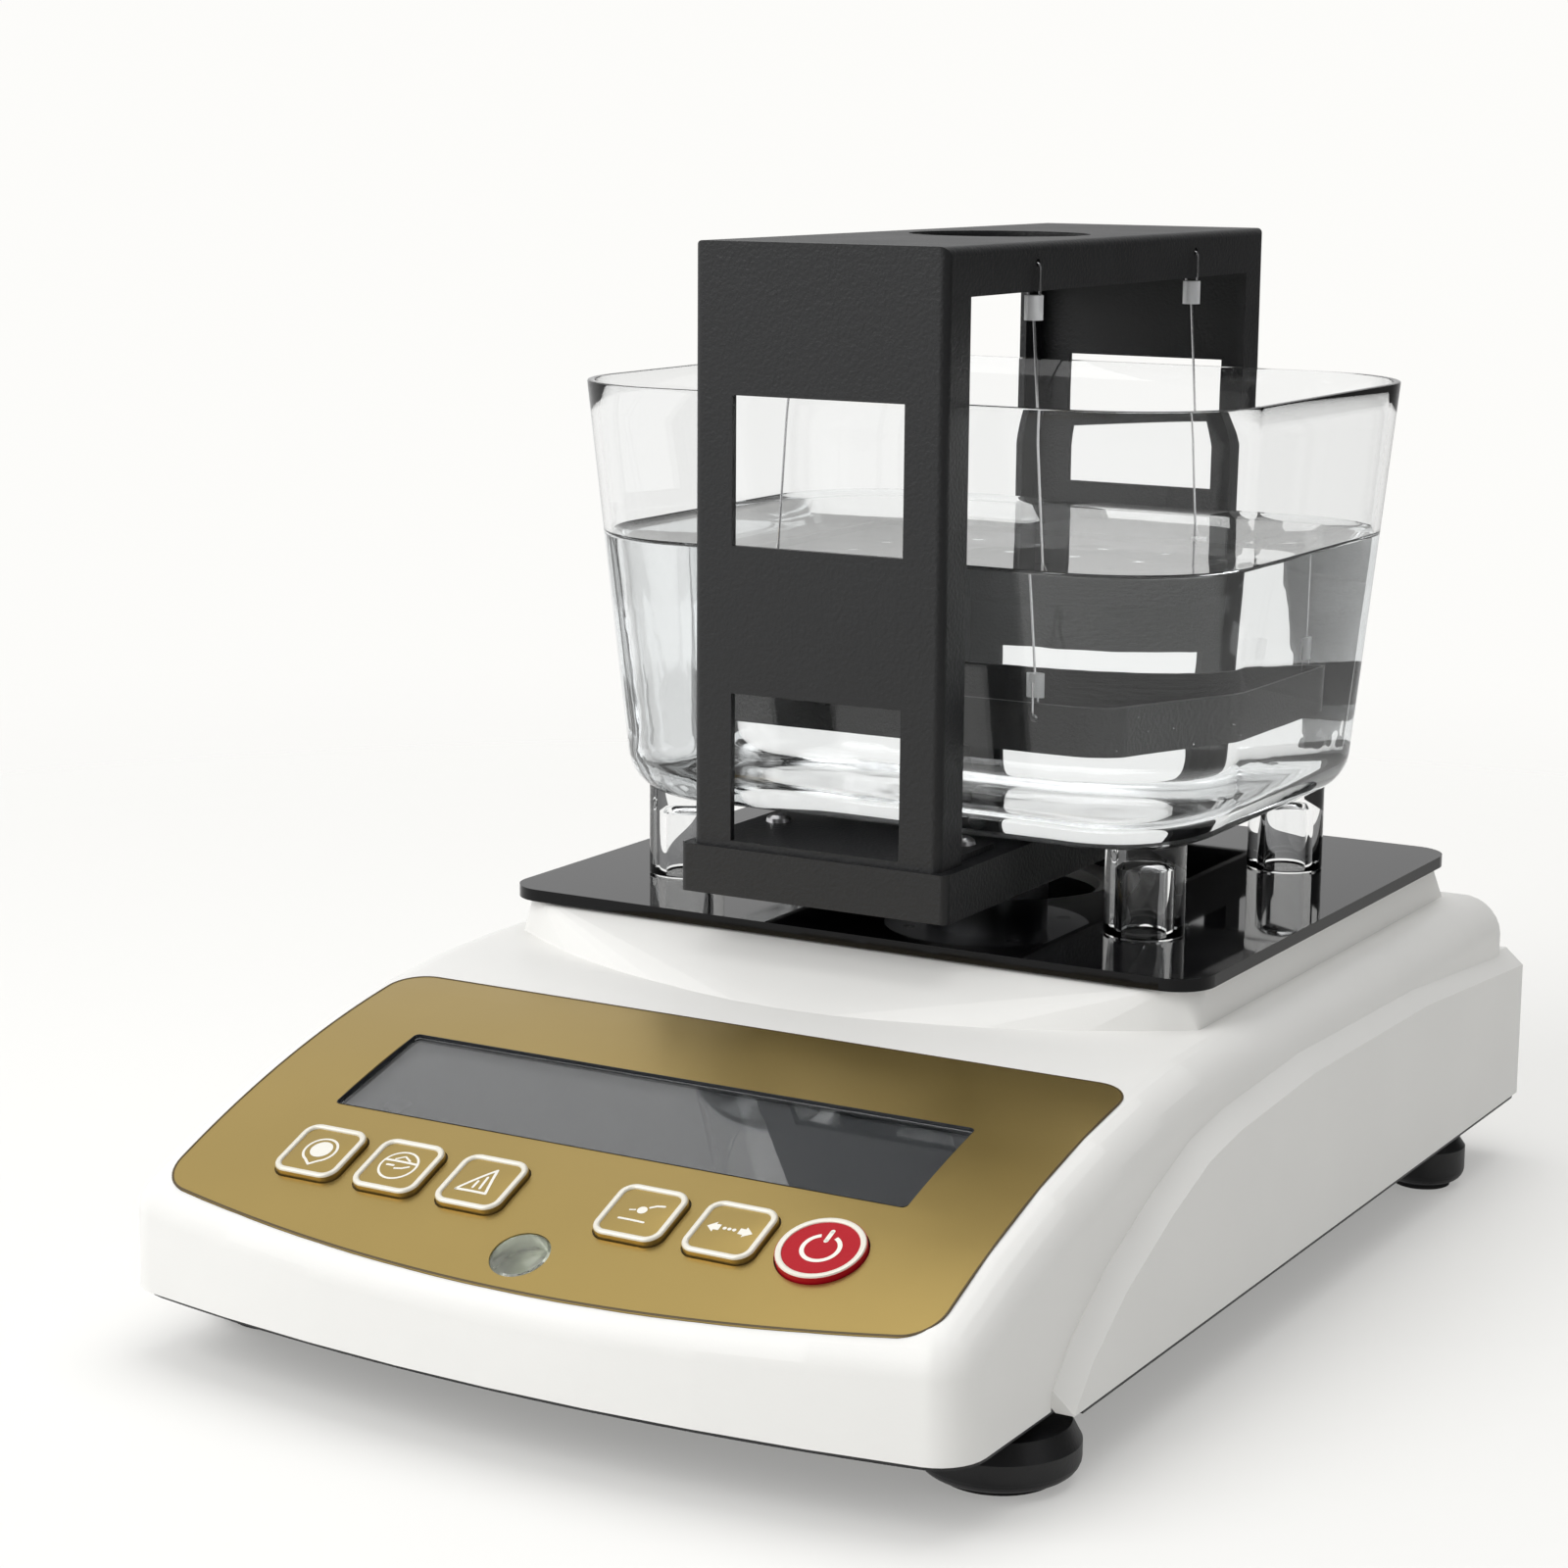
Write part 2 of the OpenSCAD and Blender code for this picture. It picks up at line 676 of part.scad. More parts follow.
// Flat cable from the key board to the main board, sagging between its two connectors
module keypad_ribbon() {
    start = deck_point(key_y, 7.95, -key_board_top - board_t - 1.2);
    end = [plug_y - 0.3, board_z + board_t + 4];
    sag = 3;
    t = 0.35;
    line = [for (i = [0 : 12]) [start[0] + (end[0] - start[0]) * i / 12,
        start[1] + (end[1] - start[1]) * i / 12 - sag * sin(180 * i / 12)]];
    color("lightgray") translate([17, 0, 0]) rotate([90, 0, 90]) linear_extrude(22)
        polygon(concat([for (p = line) [p[0], p[1] + t]], [for (i = [12 : -1 : 0]) [line[i][0], line[i][1] - t]]));
}

// ================= boards in the housing =================

module board_holes(z0) {
    for (p = board_posts) upright(p[0], p[1], small_screw_r + fit_gap, z0, board_z + board_t + cut);
}

module main_board() {
    top = board_z + board_t;
    color("darkgreen") {
        difference() {
            block([-main_board_hw, main_board_hw], main_board_y, [board_z, top]);
            board_holes(board_z - cut);
        }
        block([17, 39], [plug_y, plug_y + 4], [top, top + 6]);
        block([-20, -6], [-58, -44], [top, top + 1.6]);
        block([8, 18], [-60, -50], [top, top + 2]);
        block([-40, -30], [-66, -40], [top, top + 8]);
        block([24, 40], [-34, -24], [top, top + 9]);
        for (x = [-24, -12, 0]) upright(x, -26, 4, top, top + 11);
    }
}

module board_screws() {
    top = board_z + board_t;
    color("silver") for (p = board_posts) translate([p[0], p[1], top]) rotate([180, 0, 0]) small_screw(6);
}

module port_board() {
    color("darkgreen") difference() {
        block(port_board_x, port_board_y, [board_z, board_z + board_t]);
        board_holes(board_z - cut);
    }
}

module power_jack() {
    z0 = board_z + board_t;
    zc = z0 + jack_h / 2;
    color("#202022") {
        difference() {
            block([jack_x - jack_w / 2, jack_x + jack_w / 2], [port_face - 14, port_face], [z0, z0 + jack_h]);
            translate([jack_x, port_face - 10, zc]) rotate([-90, 0, 0]) cylinder(r = jack_bore_r, h = 20);
        }
        translate([jack_x, port_face - 11, zc]) rotate([-90, 0, 0]) cylinder(r = jack_pin_r, h = 9.5);
    }
}

module data_port() {
    z0 = board_z + board_t;
    inner = back_y - wall - lip_gap;
    color("silver") translate([port_x, 0, z0 + port_flange[1] / 2]) {
        translate([0, inner, 0]) rotate([90, 0, 0]) linear_extrude(1)
            round_rect(port_flange[0] / 2, port_flange[1] / 2, 1.5);
        block([-9.5, 9.5], [inner - 12, inner - 1], [-port_flange[1] / 2, 5]);
        difference() {
            translate([0, port_face, 0]) rotate([90, 0, 0]) linear_extrude(port_face - inner + 0.5)
                round_rect(port_w / 2, port_h / 2, 1.8);
            translate([0, port_face + cut, 0]) rotate([90, 0, 0]) linear_extrude(port_face - inner + cut)
                round_rect(port_w / 2 - 0.5, port_h / 2 - 0.5, 1.4);
        }
        for (s = [-1, 1]) translate([s * port_post_x, port_face, 0]) rotate([90, 0, 0])
            cylinder(r = 2.4, h = port_face - inner + 0.5);
    }
}

// ================= load path =================

module cell_holes(z0, z1) {
    for (y = [-5, -15]) upright(0, pan_y + cell_l / 2 + y, cell_screw_r + fit_gap, z0, z1);
}

module load_cell() {
    z1 = cell_z + cell_h;
    color("silver") difference() {
        translate([0, pan_y, 0]) block([-cell_w / 2, cell_w / 2], [-cell_l / 2, cell_l / 2], [cell_z, z1]);
        for (s = [-1, 1]) translate([0, pan_y + s * cell_eye_y, cell_z + cell_h / 2]) rotate([0, 90, 0])
            cylinder(r = cell_eye_r, h = 2 * cell_w, center = true);
        translate([0, pan_y, cell_z + cell_h / 2]) cube([2 * cell_w, 2 * cell_eye_y, 3], center = true);
        for (y = [5, 15]) {
            upright(0, pan_y + cell_l / 2 - y, cell_screw_r + fit_gap, cell_z - cut, z1 + cut);
            upright(0, pan_y - cell_l / 2 + y, cell_screw_r + fit_gap, cell_z - cut, z1 + cut);
        }
    }
}

module cell_mount() {
    color("gray") difference() {
        block([-cell_w / 2 - 1, cell_w / 2 + 1], [cell_base_y - 24, cell_base_y], [tray_top, cell_z]);
        cell_holes(tray_top - cut, cell_z + cut);
    }
}

module cap_screw(x, y, z, shank) {
    upright(x, y, 3.5, z, z + 4);
    upright(x, y, cell_screw_r, z - shank, z + 1);
}

module cell_screws() {
    color("dimgray") for (y = [-5, -15]) cap_screw(0, pan_y + cell_l / 2 + y, cell_z + cell_h, cell_h + 8);
}

// Set screw with its lock nut, under the free end of the cell
module overload_stop() {
    y = carrier_front + cell_end;
    color("silver") {
        upright(0, y, stud_r, tray_bottom, cell_z - stop_gap);
        translate([0, y, tray_top]) cylinder(r = 5.8, h = 4.5, $fn = 6);
    }
}

// Plate on the free end of the cell, with the post that carries the frame
module pan_carrier() {
    z0 = cell_z + cell_h;
    z1 = z0 + carrier_gap + carrier_t;
    color("silver") difference() {
        union() {
            block([-cell_w / 2, cell_w / 2], [carrier_front, carrier_front + 20], [z0, z1 - 1]);
            translate([0, (carrier_front + carrier_back) / 2, 0])
                round_slab(carrier_hw, (carrier_back - carrier_front) / 2, 4, z0 + carrier_gap, z1);
        }
        upright(0, pan_y, post_neck_r + fit_gap, z0, z1 + cut);
        for (y = [5, 15]) upright(0, carrier_front + y, cell_screw_r + fit_gap, z0 - cut, z1 + cut);
    }
}

// Tube that carries the frame base, its neck is pressed into the carrier plate
module carrier_post() {
    z1 = cell_z + cell_h + carrier_gap + carrier_t;
    top = base_top - sheet;
    color("silver") difference() {
        union() {
            upright(0, pan_y, post_neck_r, z1 - carrier_t, z1);
            upright(0, pan_y, post_outer_r, z1, top);
            upright(0, pan_y, post_flange_r, top - post_flange_t, top);
        }
        upright(0, pan_y, post_bore_r, z1 - carrier_t - cut, top + cut);
        flange_holes(top - post_flange_t - cut, top + cut);
    }
}

module carrier_screws() {
    z1 = cell_z + cell_h + carrier_gap + carrier_t;
    color("dimgray") for (y = [5, 15]) cap_screw(0, carrier_front + y, z1, 18);
}

module flange_holes(z0, z1) {
    for (a = [45 : 90 : 315]) upright(17.5 * cos(a), pan_y + 17.5 * sin(a), frame_screw_r + fit_gap, z0, z1);
}

// ================= weighing frame =================

module frame_base() {
    color("#2a2b2d") difference() {
        translate([0, pan_y, 0]) round_slab(base_hw, base_hd, 1.5, base_top - base_h, base_top);
        translate([0, pan_y, 0]) round_slab(base_hw - sheet, base_hd - sheet, 0.5,
            base_top - base_h - cut, base_top - sheet);
        flange_holes(base_top - base_h, base_top + cut);
        for (a = [45 : 90 : 315])
            upright(17.5 * cos(a), pan_y + 17.5 * sin(a), 2.6 + fit_gap, base_top - 1, base_top + cut);
        portal_screw_holes(base_top - sheet - cut, base_top + cut);
    }
}

module portal_screw_holes(z0, z1) {
    for (x = [-1, 1], y = [-1, 1])
        upright(x * frame_screw_x, pan_y + y * frame_screw_y, frame_screw_r + fit_gap, z0, z1);
}

// Folded portal: beam and two columns, with flanges along both sides
module portal_frame() {
    bend = 1.8;
    span = portal_hd - flange;
    hatch = [hatch_low, hatch_high];
    color("#2a2b2d") translate([0, pan_y, 0]) difference() {
        union() {
            difference() {
                intersection() {
                    round_slab(portal_hw, portal_hd, bend, base_top, portal_z);
                    translate([0, portal_hd, base_top]) rotate([90, 0, 0]) linear_extrude(2 * portal_hd) {
                        translate([-portal_hw, 0]) square([2 * portal_hw, portal_z - base_top - bend]);
                        translate([bend - portal_hw, 0]) square([2 * (portal_hw - bend), portal_z - base_top]);
                        for (s = [-1, 1]) translate([s * (portal_hw - bend), portal_z - base_top - bend]) circle(bend);
                    }
                }
                block([sheet - portal_hw, portal_hw - sheet], [sheet - portal_hd, portal_hd - sheet],
                    [base_top - cut, portal_z - sheet]);
                block([-portal_hw - cut, portal_hw + cut], [-span, span], [base_top - cut, portal_z - flange]);
            }
            for (s = [-1, 1]) scale([1, s, 1])
                block([0.1 - portal_hw + sheet, portal_hw - sheet - 0.1], [tab_in, portal_hd - 1], [base_top, base_top + tab_t]);
        }
        for (h = hatch) block([-hatch_hw, hatch_hw], [-portal_hd - cut, portal_hd + cut], h);
        upright(0, 0, dish_r, portal_z - sheet - cut, portal_z + cut);
        for (s = [-1, 1]) translate([0, s * wire_y, wire_hole_z]) rotate([0, 90, 0])
            cylinder(r = wire_hole_r, h = 3 * portal_hw, center = true);
        translate([0, -pan_y, 0]) portal_screw_holes(base_top - cut, base_top + tab_t + cut);
    }
}

// Dome screws on the portal's foot tabs, and flush screws that hold the base to the post
module frame_screws() {
    color("silver") {
        for (x = [-1, 1], y = [-1, 1]) translate([x * frame_screw_x, pan_y + y * frame_screw_y, base_top + tab_t]) {
            translate([0, 0, -sheet - tab_t - 2]) cylinder(r = frame_screw_r, h = sheet + tab_t + 2);
            rotate_extrude() polygon([[0, 0], [2.6, 0], [2.4, 0.8], [1.6, 1.4], [0.8, 1.65], [0, 1.7]]);
        }
        for (a = [45 : 90 : 315]) {
            upright(17.5 * cos(a), pan_y + 17.5 * sin(a), 2.6, base_top - 1, base_top - 0.05);
            upright(17.5 * cos(a), pan_y + 17.5 * sin(a), frame_screw_r, base_top - 4.4, base_top - 0.5);
        }
    }
}

module air_dish() {
    lip = portal_z - sheet;
    r = dish_r - fit_gap;
    color("#2a2b2d") translate([0, pan_y, 0]) rotate_extrude() polygon([
        [0, lip - dish_depth], [r - dish_wall - 1.2, lip - dish_depth], [r - dish_wall, lip - dish_depth + 1.2],
        [r - dish_wall, portal_z - 0.4], [r, portal_z - 0.4], [r, lip], [r + dish_lip, lip],
        [r + dish_lip, lip - dish_wall], [r, lip - dish_wall], [r, lip - dish_depth],
        [r - 1.4, lip - dish_depth - dish_wall], [0, lip - dish_depth - dish_wall]]);
}

// ================= water tank =================

// Tapered tank with round corners and a round lower edge, moved in by d
module tank_form(d, top) {
    hull() {
        for (x = [-1, 1], y = [-1, 1]) {
            translate([x * (rim_hw - rim_corner), y * (rim_hd - rim_corner), top - 1])
                cylinder(r = rim_corner - d, h = 1);
            translate([x * (foot_half[0] - foot_corner), y * (foot_half[1] - foot_corner), tank_z])
                for (a = [0 : 22.5 : 90])
                    translate([0, 0, tank_fillet - (tank_fillet - d) * cos(a)])
                        cylinder(r = foot_corner - tank_fillet + (tank_fillet - d) * sin(a), h = 0.2);
        }
    }
}

module water_tank() {
    color("lightblue", 0.35) translate([0, pan_y, 0]) difference() {
        tank_form(0, rim_z);
        tank_form(tank_t, rim_z + cut);
    }
}

// Four thick-walled tubes bonded under the tank, closed at the top
module tank_feet() {
    roof_t = 3;
    color("lightblue", 0.35) translate([0, pan_y, 0]) difference() {
        for (x = [-1, 1], y = [-1, 1]) upright(x * tube_at[0], y * tube_at[1], tube_r, plate_top, tank_z);
        for (x = [-1, 1], y = [-1, 1])
            upright(x * tube_at[0], y * tube_at[1], tube_bore_r, plate_top - cut, tank_z - roof_t);
    }
}

// ================= hangers and submerged tray =================

// Round loop with two straight legs that point down, r is the radius of the wire
module wire_loop(loop_r, leg, r) {
    rotate([90, 0, 0]) rotate_extrude(angle = 180) translate([loop_r, 0]) circle(r, $fn = 16);
    for (s = [-1, 1]) translate([s * loop_r, 0, -leg]) cylinder(r = r, h = leg, $fn = 16);
}

// One hanger: a loop through the beam's flange, the wire, and a loop through the tray's wall
module hanger(sx, y, r) {
    top_c = wire_hole_z - loop_top_r;
    low_c = wire_low_z + loop_low_r;
    translate([sx * wire_top_x, y, top_c]) wire_loop(loop_top_r, top_c - crimp_top_z + crimp_grip, r);
    translate([sx * wire_low_x, y, low_c]) rotate([180, 0, 90])
        wire_loop(loop_low_r, crimp_low_z + crimp_grip - low_c, r);
    rod([sx * wire_low_x, y, crimp_low_z + crimp_h - 1.6],
        [sx * wire_top_x, y, crimp_top_z - crimp_h + 1.6], r);
}

module crimps(y) {
    for (s = [-1, 1]) difference() {
        union() {
            upright(s * wire_top_x, y, crimp_r, crimp_top_z - crimp_h, crimp_top_z);
            upright(s * wire_low_x, y, crimp_r, crimp_low_z, crimp_low_z + crimp_h);
        }
        hanger(s, y, wire_r + fit_gap);
    }
}

module hanger_wires_front() { color("silver") for (s = [-1, 1]) hanger(s, pan_y - wire_y, wire_r); }
module hanger_wires_back() { color("silver") for (s = [-1, 1]) hanger(s, pan_y + wire_y, wire_r); }
module wire_crimps_front() { color("lightgray") crimps(pan_y - wire_y); }
module wire_crimps_back() { color("lightgray") crimps(pan_y + wire_y); }

module weighing_tray() {
    corner = 6;
    color("#2a2b2d") translate([0, pan_y, 0]) difference() {
        round_slab(tray_hw, tray_hd, corner, tray_z, tray_z + tray_h);
        round_slab(tray_hw - sheet, tray_hd - sheet, corner - sheet, tray_z + sheet, tray_z + tray_h + cut);
        for (x = [-30 : 15 : 30], y = [-22.5 : 15 : 22.5]) upright(x, y, 1.5, tray_z - cut, tray_z + sheet + cut);
        for (x = [-1, 1]) translate([x * wire_low_x, 0, wire_low_z]) rotate([90, 0, 0])
            cylinder(r = wire_hole_r, h = 3 * tray_hd, center = true);
    }
}

// ================= feet =================

module foot_inserts() {
    color("goldenrod") foot_places() difference() {
        upright(0, 0, insert_r, tray_bottom, insert_top);
        upright(0, 0, stud_r + fit_gap, 0, insert_top + cut);
    }
}

// Knob with its stud, r is the knob's radius
module knob(x, y, r, cyl_top, top, taper) {
    low = 3;
    color("#1c1c1e") translate([x, y, 0]) difference() {
        union() {
            rotate_extrude() polygon(concat([[0, knob_z]], arc([r - low, knob_z + low], low, -90, 0, 6),
                [[r, cyl_top], [r - taper, top], [0, top]]));
            upright(0, 0, collar_r, top - cut, tray_bottom - fit_gap);
            upright(0, 0, stud_r, top - cut, stud_top);
        }
        upright(0, 0, peg_r + fit_gap, 0, knob_z + peg_l + 0.5);
    }
}

module sole(x, y, r) {
    color("#101010") translate([x, y, 0]) {
        cylinder(r = r, h = sole_t);
        cylinder(r = peg_r, h = sole_t + peg_l);
    }
}

module foot_knob_fl() { knob(-front_foot_x, front_foot_y, front_knob_r, 6.8, 10.2, 1.8); }
module foot_knob_fr() { knob(front_foot_x, front_foot_y, front_knob_r, 6.8, 10.2, 1.8); }
module foot_knob_rl() { knob(-rear_foot_x, rear_foot_y, rear_knob_r, 8.8, 10.8, 1.4); }
module foot_knob_rr() { knob(rear_foot_x, rear_foot_y, rear_knob_r, 8.8, 10.8, 1.4); }
module foot_sole_fl() { sole(-front_foot_x, front_foot_y, front_knob_r - 4); }
module foot_sole_fr() { sole(front_foot_x, front_foot_y, front_knob_r - 4); }
module foot_sole_rl() { sole(-rear_foot_x, rear_foot_y, rear_knob_r - 3); }
module foot_sole_rr() { sole(rear_foot_x, rear_foot_y, rear_knob_r - 3); }

top_cover();
base_tray();
cover_screws();
platform_plate();
overlay_panel();
display_window();
lcd_module();
key_1();
key_2();
key_3();
key_4();
key_5();
power_key();
level_vial();
keypad_board();
key_switches();
panel_screws();
keypad_ribbon();
main_board();
board_screws();
port_board();
power_jack();
data_port();
load_cell();
cell_mount();
cell_screws();
overload_stop();
pan_carrier();
carrier_post();
carrier_screws();
frame_base();
portal_frame();
frame_screws();
air_dish();
water_tank();
tank_feet();
hanger_wires_front();
hanger_wires_back();
wire_crimps_front();
wire_crimps_back();
weighing_tray();
foot_inserts();
foot_knob_fl();
foot_knob_fr();
foot_knob_rl();
foot_knob_rr();
foot_sole_fl();
foot_sole_fr();
foot_sole_rl();
foot_sole_rr();
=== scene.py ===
import json
import logging
import math
from dataclasses import dataclass, field
from enum import Enum
from typing import Callable, Iterable, Sequence

import bmesh
import bpy
from mathutils import Matrix, Vector

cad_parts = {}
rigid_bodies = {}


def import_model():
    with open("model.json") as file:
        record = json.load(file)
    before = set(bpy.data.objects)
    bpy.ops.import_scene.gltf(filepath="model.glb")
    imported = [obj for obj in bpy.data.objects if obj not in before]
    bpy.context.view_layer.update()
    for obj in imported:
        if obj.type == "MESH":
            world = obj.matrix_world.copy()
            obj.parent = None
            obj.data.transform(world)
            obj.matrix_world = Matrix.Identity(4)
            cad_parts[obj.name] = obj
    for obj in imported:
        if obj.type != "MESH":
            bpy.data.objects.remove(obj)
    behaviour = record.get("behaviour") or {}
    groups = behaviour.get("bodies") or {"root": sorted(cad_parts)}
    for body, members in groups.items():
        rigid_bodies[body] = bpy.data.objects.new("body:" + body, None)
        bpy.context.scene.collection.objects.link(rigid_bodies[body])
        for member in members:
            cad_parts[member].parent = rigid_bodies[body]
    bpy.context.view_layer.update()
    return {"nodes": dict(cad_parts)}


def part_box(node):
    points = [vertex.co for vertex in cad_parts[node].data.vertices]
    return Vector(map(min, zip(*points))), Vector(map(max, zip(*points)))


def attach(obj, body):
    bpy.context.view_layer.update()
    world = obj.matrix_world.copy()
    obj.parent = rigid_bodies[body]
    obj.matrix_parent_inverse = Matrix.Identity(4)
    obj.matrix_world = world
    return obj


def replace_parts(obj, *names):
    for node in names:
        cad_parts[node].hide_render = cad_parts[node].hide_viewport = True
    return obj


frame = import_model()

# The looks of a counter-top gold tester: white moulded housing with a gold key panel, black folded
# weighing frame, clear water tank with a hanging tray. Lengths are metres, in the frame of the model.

log = logging.getLogger("gold_tester")
MM = 0.001
Point = tuple[float, float, float]
Colour = tuple[float, float, float]


# ------------------------------------------------------------------ finishes


TONE_NOISE = (35.0, 4.0)
GLOSS_NOISE = (60.0, 6.0)
TONE_SPAN = (0.3, 0.7)
GLOSS_WANDER = 0.05
GRAIN_DETAIL = 2.0
FINE_DETAIL = 3.0
BRUSH_STRETCH = (1.0, 0.03, 1.0)
RELIEF_HEIGHT = 0.3 * MM
RIPPLE_HEIGHT = 0.5 * MM


def noise(tree: bpy.types.NodeTree, place: bpy.types.NodeSocket, scale: float,
          detail: float = 2.0) -> bpy.types.NodeSocket:
    """Adds a noise texture.

    Args:
        tree: The material's tree.
        place: Socket of the coordinates.
        scale: Scale of the noise.
        detail: Octaves of the noise.

    Returns:
        The socket of its grey value.
    """
    node = tree.nodes.new("ShaderNodeTexNoise")
    node.inputs["Scale"].default_value = scale
    node.inputs["Detail"].default_value = detail
    tree.links.new(place, node.inputs["Vector"])
    return node.outputs["Fac"]


def bump(tree: bpy.types.NodeTree, height: bpy.types.NodeSocket, strength: float, distance: float) -> None:
    """Bends the normals of the tree's shader.

    Args:
        tree: The material's tree.
        height: Socket of the height.
        strength: Share of the bump that is used.
        distance: Height of the relief.
    """
    node = tree.nodes.new("ShaderNodeBump")
    node.inputs["Strength"].default_value = strength
    node.inputs["Distance"].default_value = distance
    tree.links.new(height, node.inputs["Height"])
    tree.links.new(node.outputs["Normal"], tree.nodes["Principled BSDF"].inputs["Normal"])


class Texture(Enum):
    """How the fine relief of a surface is made."""

    GRAIN = "grain"
    POWDER = "powder"
    BRUSHED = "brushed"
    SMOOTH = "smooth"


@dataclass(frozen=True)
class Finish:
    """An opaque surface with its own relief and a slight drift of colour and gloss."""

    name: str
    colour: Colour
    roughness: float
    metallic: float = 0.0
    texture: Texture = Texture.GRAIN
    scale: float = 900.0
    depth: float = 0.12
    drift: float = 0.04
    specular: float = 0.5

    def build(self) -> bpy.types.Material:
        """Makes the node material.

        Returns:
            The material, ready to be put in a slot.
        """
        mat = bpy.data.materials.new(self.name)
        mat.use_nodes = True
        tree = mat.node_tree
        shader = tree.nodes["Principled BSDF"]
        shader.inputs["Metallic"].default_value = self.metallic
        shader.inputs["Specular IOR Level"].default_value = self.specular
        place = tree.nodes.new("ShaderNodeTexCoord").outputs["Object"]
        self._colour(tree, shader, place)
        self._gloss(tree, shader, place)
        if self.texture is not Texture.SMOOTH:
            self._relief(tree, place)
        return mat

    def _colour(self, tree: bpy.types.NodeTree, shader: bpy.types.Node,
                place: bpy.types.NodeSocket) -> None:
        """Drives the base colour with a broad, faint noise."""
        ramp = tree.nodes.new("ShaderNodeValToRGB")
        gains = (1 - self.drift, 1 + self.drift)
        for element, position, gain in zip(ramp.color_ramp.elements, TONE_SPAN, gains):
            element.position = position
            element.color = (*(min(1.0, c * gain) for c in self.colour), 1.0)
        tree.links.new(noise(tree, place, *TONE_NOISE), ramp.inputs["Fac"])
        tree.links.new(ramp.outputs["Color"], shader.inputs["Base Color"])

    def _gloss(self, tree: bpy.types.NodeTree, shader: bpy.types.Node,
               place: bpy.types.NodeSocket) -> None:
        """Lets the roughness wander a little, as handling leaves it."""
        span = tree.nodes.new("ShaderNodeMapRange")
        span.inputs["To Min"].default_value = max(0.0, self.roughness - GLOSS_WANDER)
        span.inputs["To Max"].default_value = self.roughness + GLOSS_WANDER
        tree.links.new(noise(tree, place, *GLOSS_NOISE), span.inputs["Value"])
        tree.links.new(span.outputs["Result"], shader.inputs["Roughness"])

    def _relief(self, tree: bpy.types.NodeTree, place: bpy.types.NodeSocket) -> None:
        """Adds the fine bump of the surface."""
        if self.texture is Texture.BRUSHED:
            stretch = tree.nodes.new("ShaderNodeMapping")
            stretch.inputs["Scale"].default_value = BRUSH_STRETCH
            tree.links.new(place, stretch.inputs["Vector"])
            place = stretch.outputs["Vector"]
        detail = GRAIN_DETAIL if self.texture is Texture.GRAIN else FINE_DETAIL
        bump(tree, noise(tree, place, self.scale, detail), self.depth, RELIEF_HEIGHT)


@dataclass(frozen=True)
class Clear:
    """A see-through material: acrylic, glass or water."""

    name: str
    colour: Colour
    ior: float
    roughness: float = 0.0
    ripple: float = 0.0
    ripple_scale: float = 60.0
    milk: float = 0.0

    def build(self) -> bpy.types.Material:
        """Makes the node material.

        Returns:
            The material, ready to be put in a slot.
        """
        mat = bpy.data.materials.new(self.name)
        mat.use_nodes = True
        tree = mat.node_tree
        shader = tree.nodes["Principled BSDF"]
        shader.inputs["Base Color"].default_value = (*self.colour, 1.0)
        shader.inputs["Transmission Weight"].default_value = 1.0 - self.milk
        shader.inputs["IOR"].default_value = self.ior
        shader.inputs["Roughness"].default_value = self.roughness
        if self.ripple:
            place = tree.nodes.new("ShaderNodeTexCoord").outputs["Object"]
            bump(tree, noise(tree, place, self.ripple_scale), self.ripple, RIPPLE_HEIGHT)
        return mat


HOUSING = Finish("warm_white_abs", (0.855, 0.85, 0.825), 0.42, scale=2200, depth=0.05, drift=0.012)
POWDER = Finish("black_powder_coat", (0.013, 0.0135, 0.0145), 0.46, texture=Texture.POWDER, scale=1300,
                depth=0.5, specular=0.46)
BLACK_ABS = Finish("black_abs", (0.012, 0.012, 0.013), 0.38, scale=1500, depth=0.15)
RUBBER = Finish("sole_rubber", (0.015, 0.015, 0.015), 0.8, scale=900, depth=0.2)
BLACK_SHEET = Finish("polished_black_sheet", (0.004, 0.004, 0.0045), 0.03, texture=Texture.SMOOTH,
                     specular=0.2)
GOLD_FILM = Finish("gold_film", (0.465, 0.335, 0.112), 0.32, metallic=0.85,
                   scale=3500, depth=0.04, drift=0.02)
PALE_EMBOSS = Finish("pale_emboss", (0.82, 0.79, 0.69), 0.35, metallic=0.2, scale=3000, depth=0.03)
WHITE_PRINT = Finish("white_print", (0.86, 0.84, 0.76), 0.5, scale=3000, depth=0.03)
RED_CAP = Finish("red_cap", (0.42, 0.003, 0.012), 0.42, scale=3000, depth=0.05, specular=0.25)
LCD_FACE = Finish("lcd_face", (0.07, 0.073, 0.077), 0.25, texture=Texture.SMOOTH, drift=0.05)
LCD_FRAME = Finish("lcd_frame", (0.02, 0.022, 0.026), 0.4, texture=Texture.SMOOTH)
BOARD = Finish("solder_mask", (0.02, 0.14, 0.05), 0.35, scale=600, depth=0.1)
STEEL = Finish("plated_steel", (0.62, 0.62, 0.63), 0.28, metallic=1.0, texture=Texture.BRUSHED, scale=1200,
               depth=0.08)
WIRE = Finish("bright_wire", (0.6, 0.6, 0.61), 0.25, metallic=1.0, texture=Texture.SMOOTH)
ALUMINIUM = Finish("machined_aluminium", (0.72, 0.73, 0.75), 0.3, metallic=1.0, texture=Texture.BRUSHED,
                   scale=900)
BRASS = Finish("turned_brass", (0.72, 0.52, 0.22), 0.3, metallic=1.0, texture=Texture.BRUSHED, scale=900)
RIBBON = Finish("flat_cable", (0.5, 0.5, 0.52), 0.5, scale=800, depth=0.1)
ACRYLIC = Clear("clear_acrylic", (0.957, 0.962, 0.966), 1.3)
WATER = Clear("water", (0.985, 0.995, 0.998), 1.333, ripple=0.15)
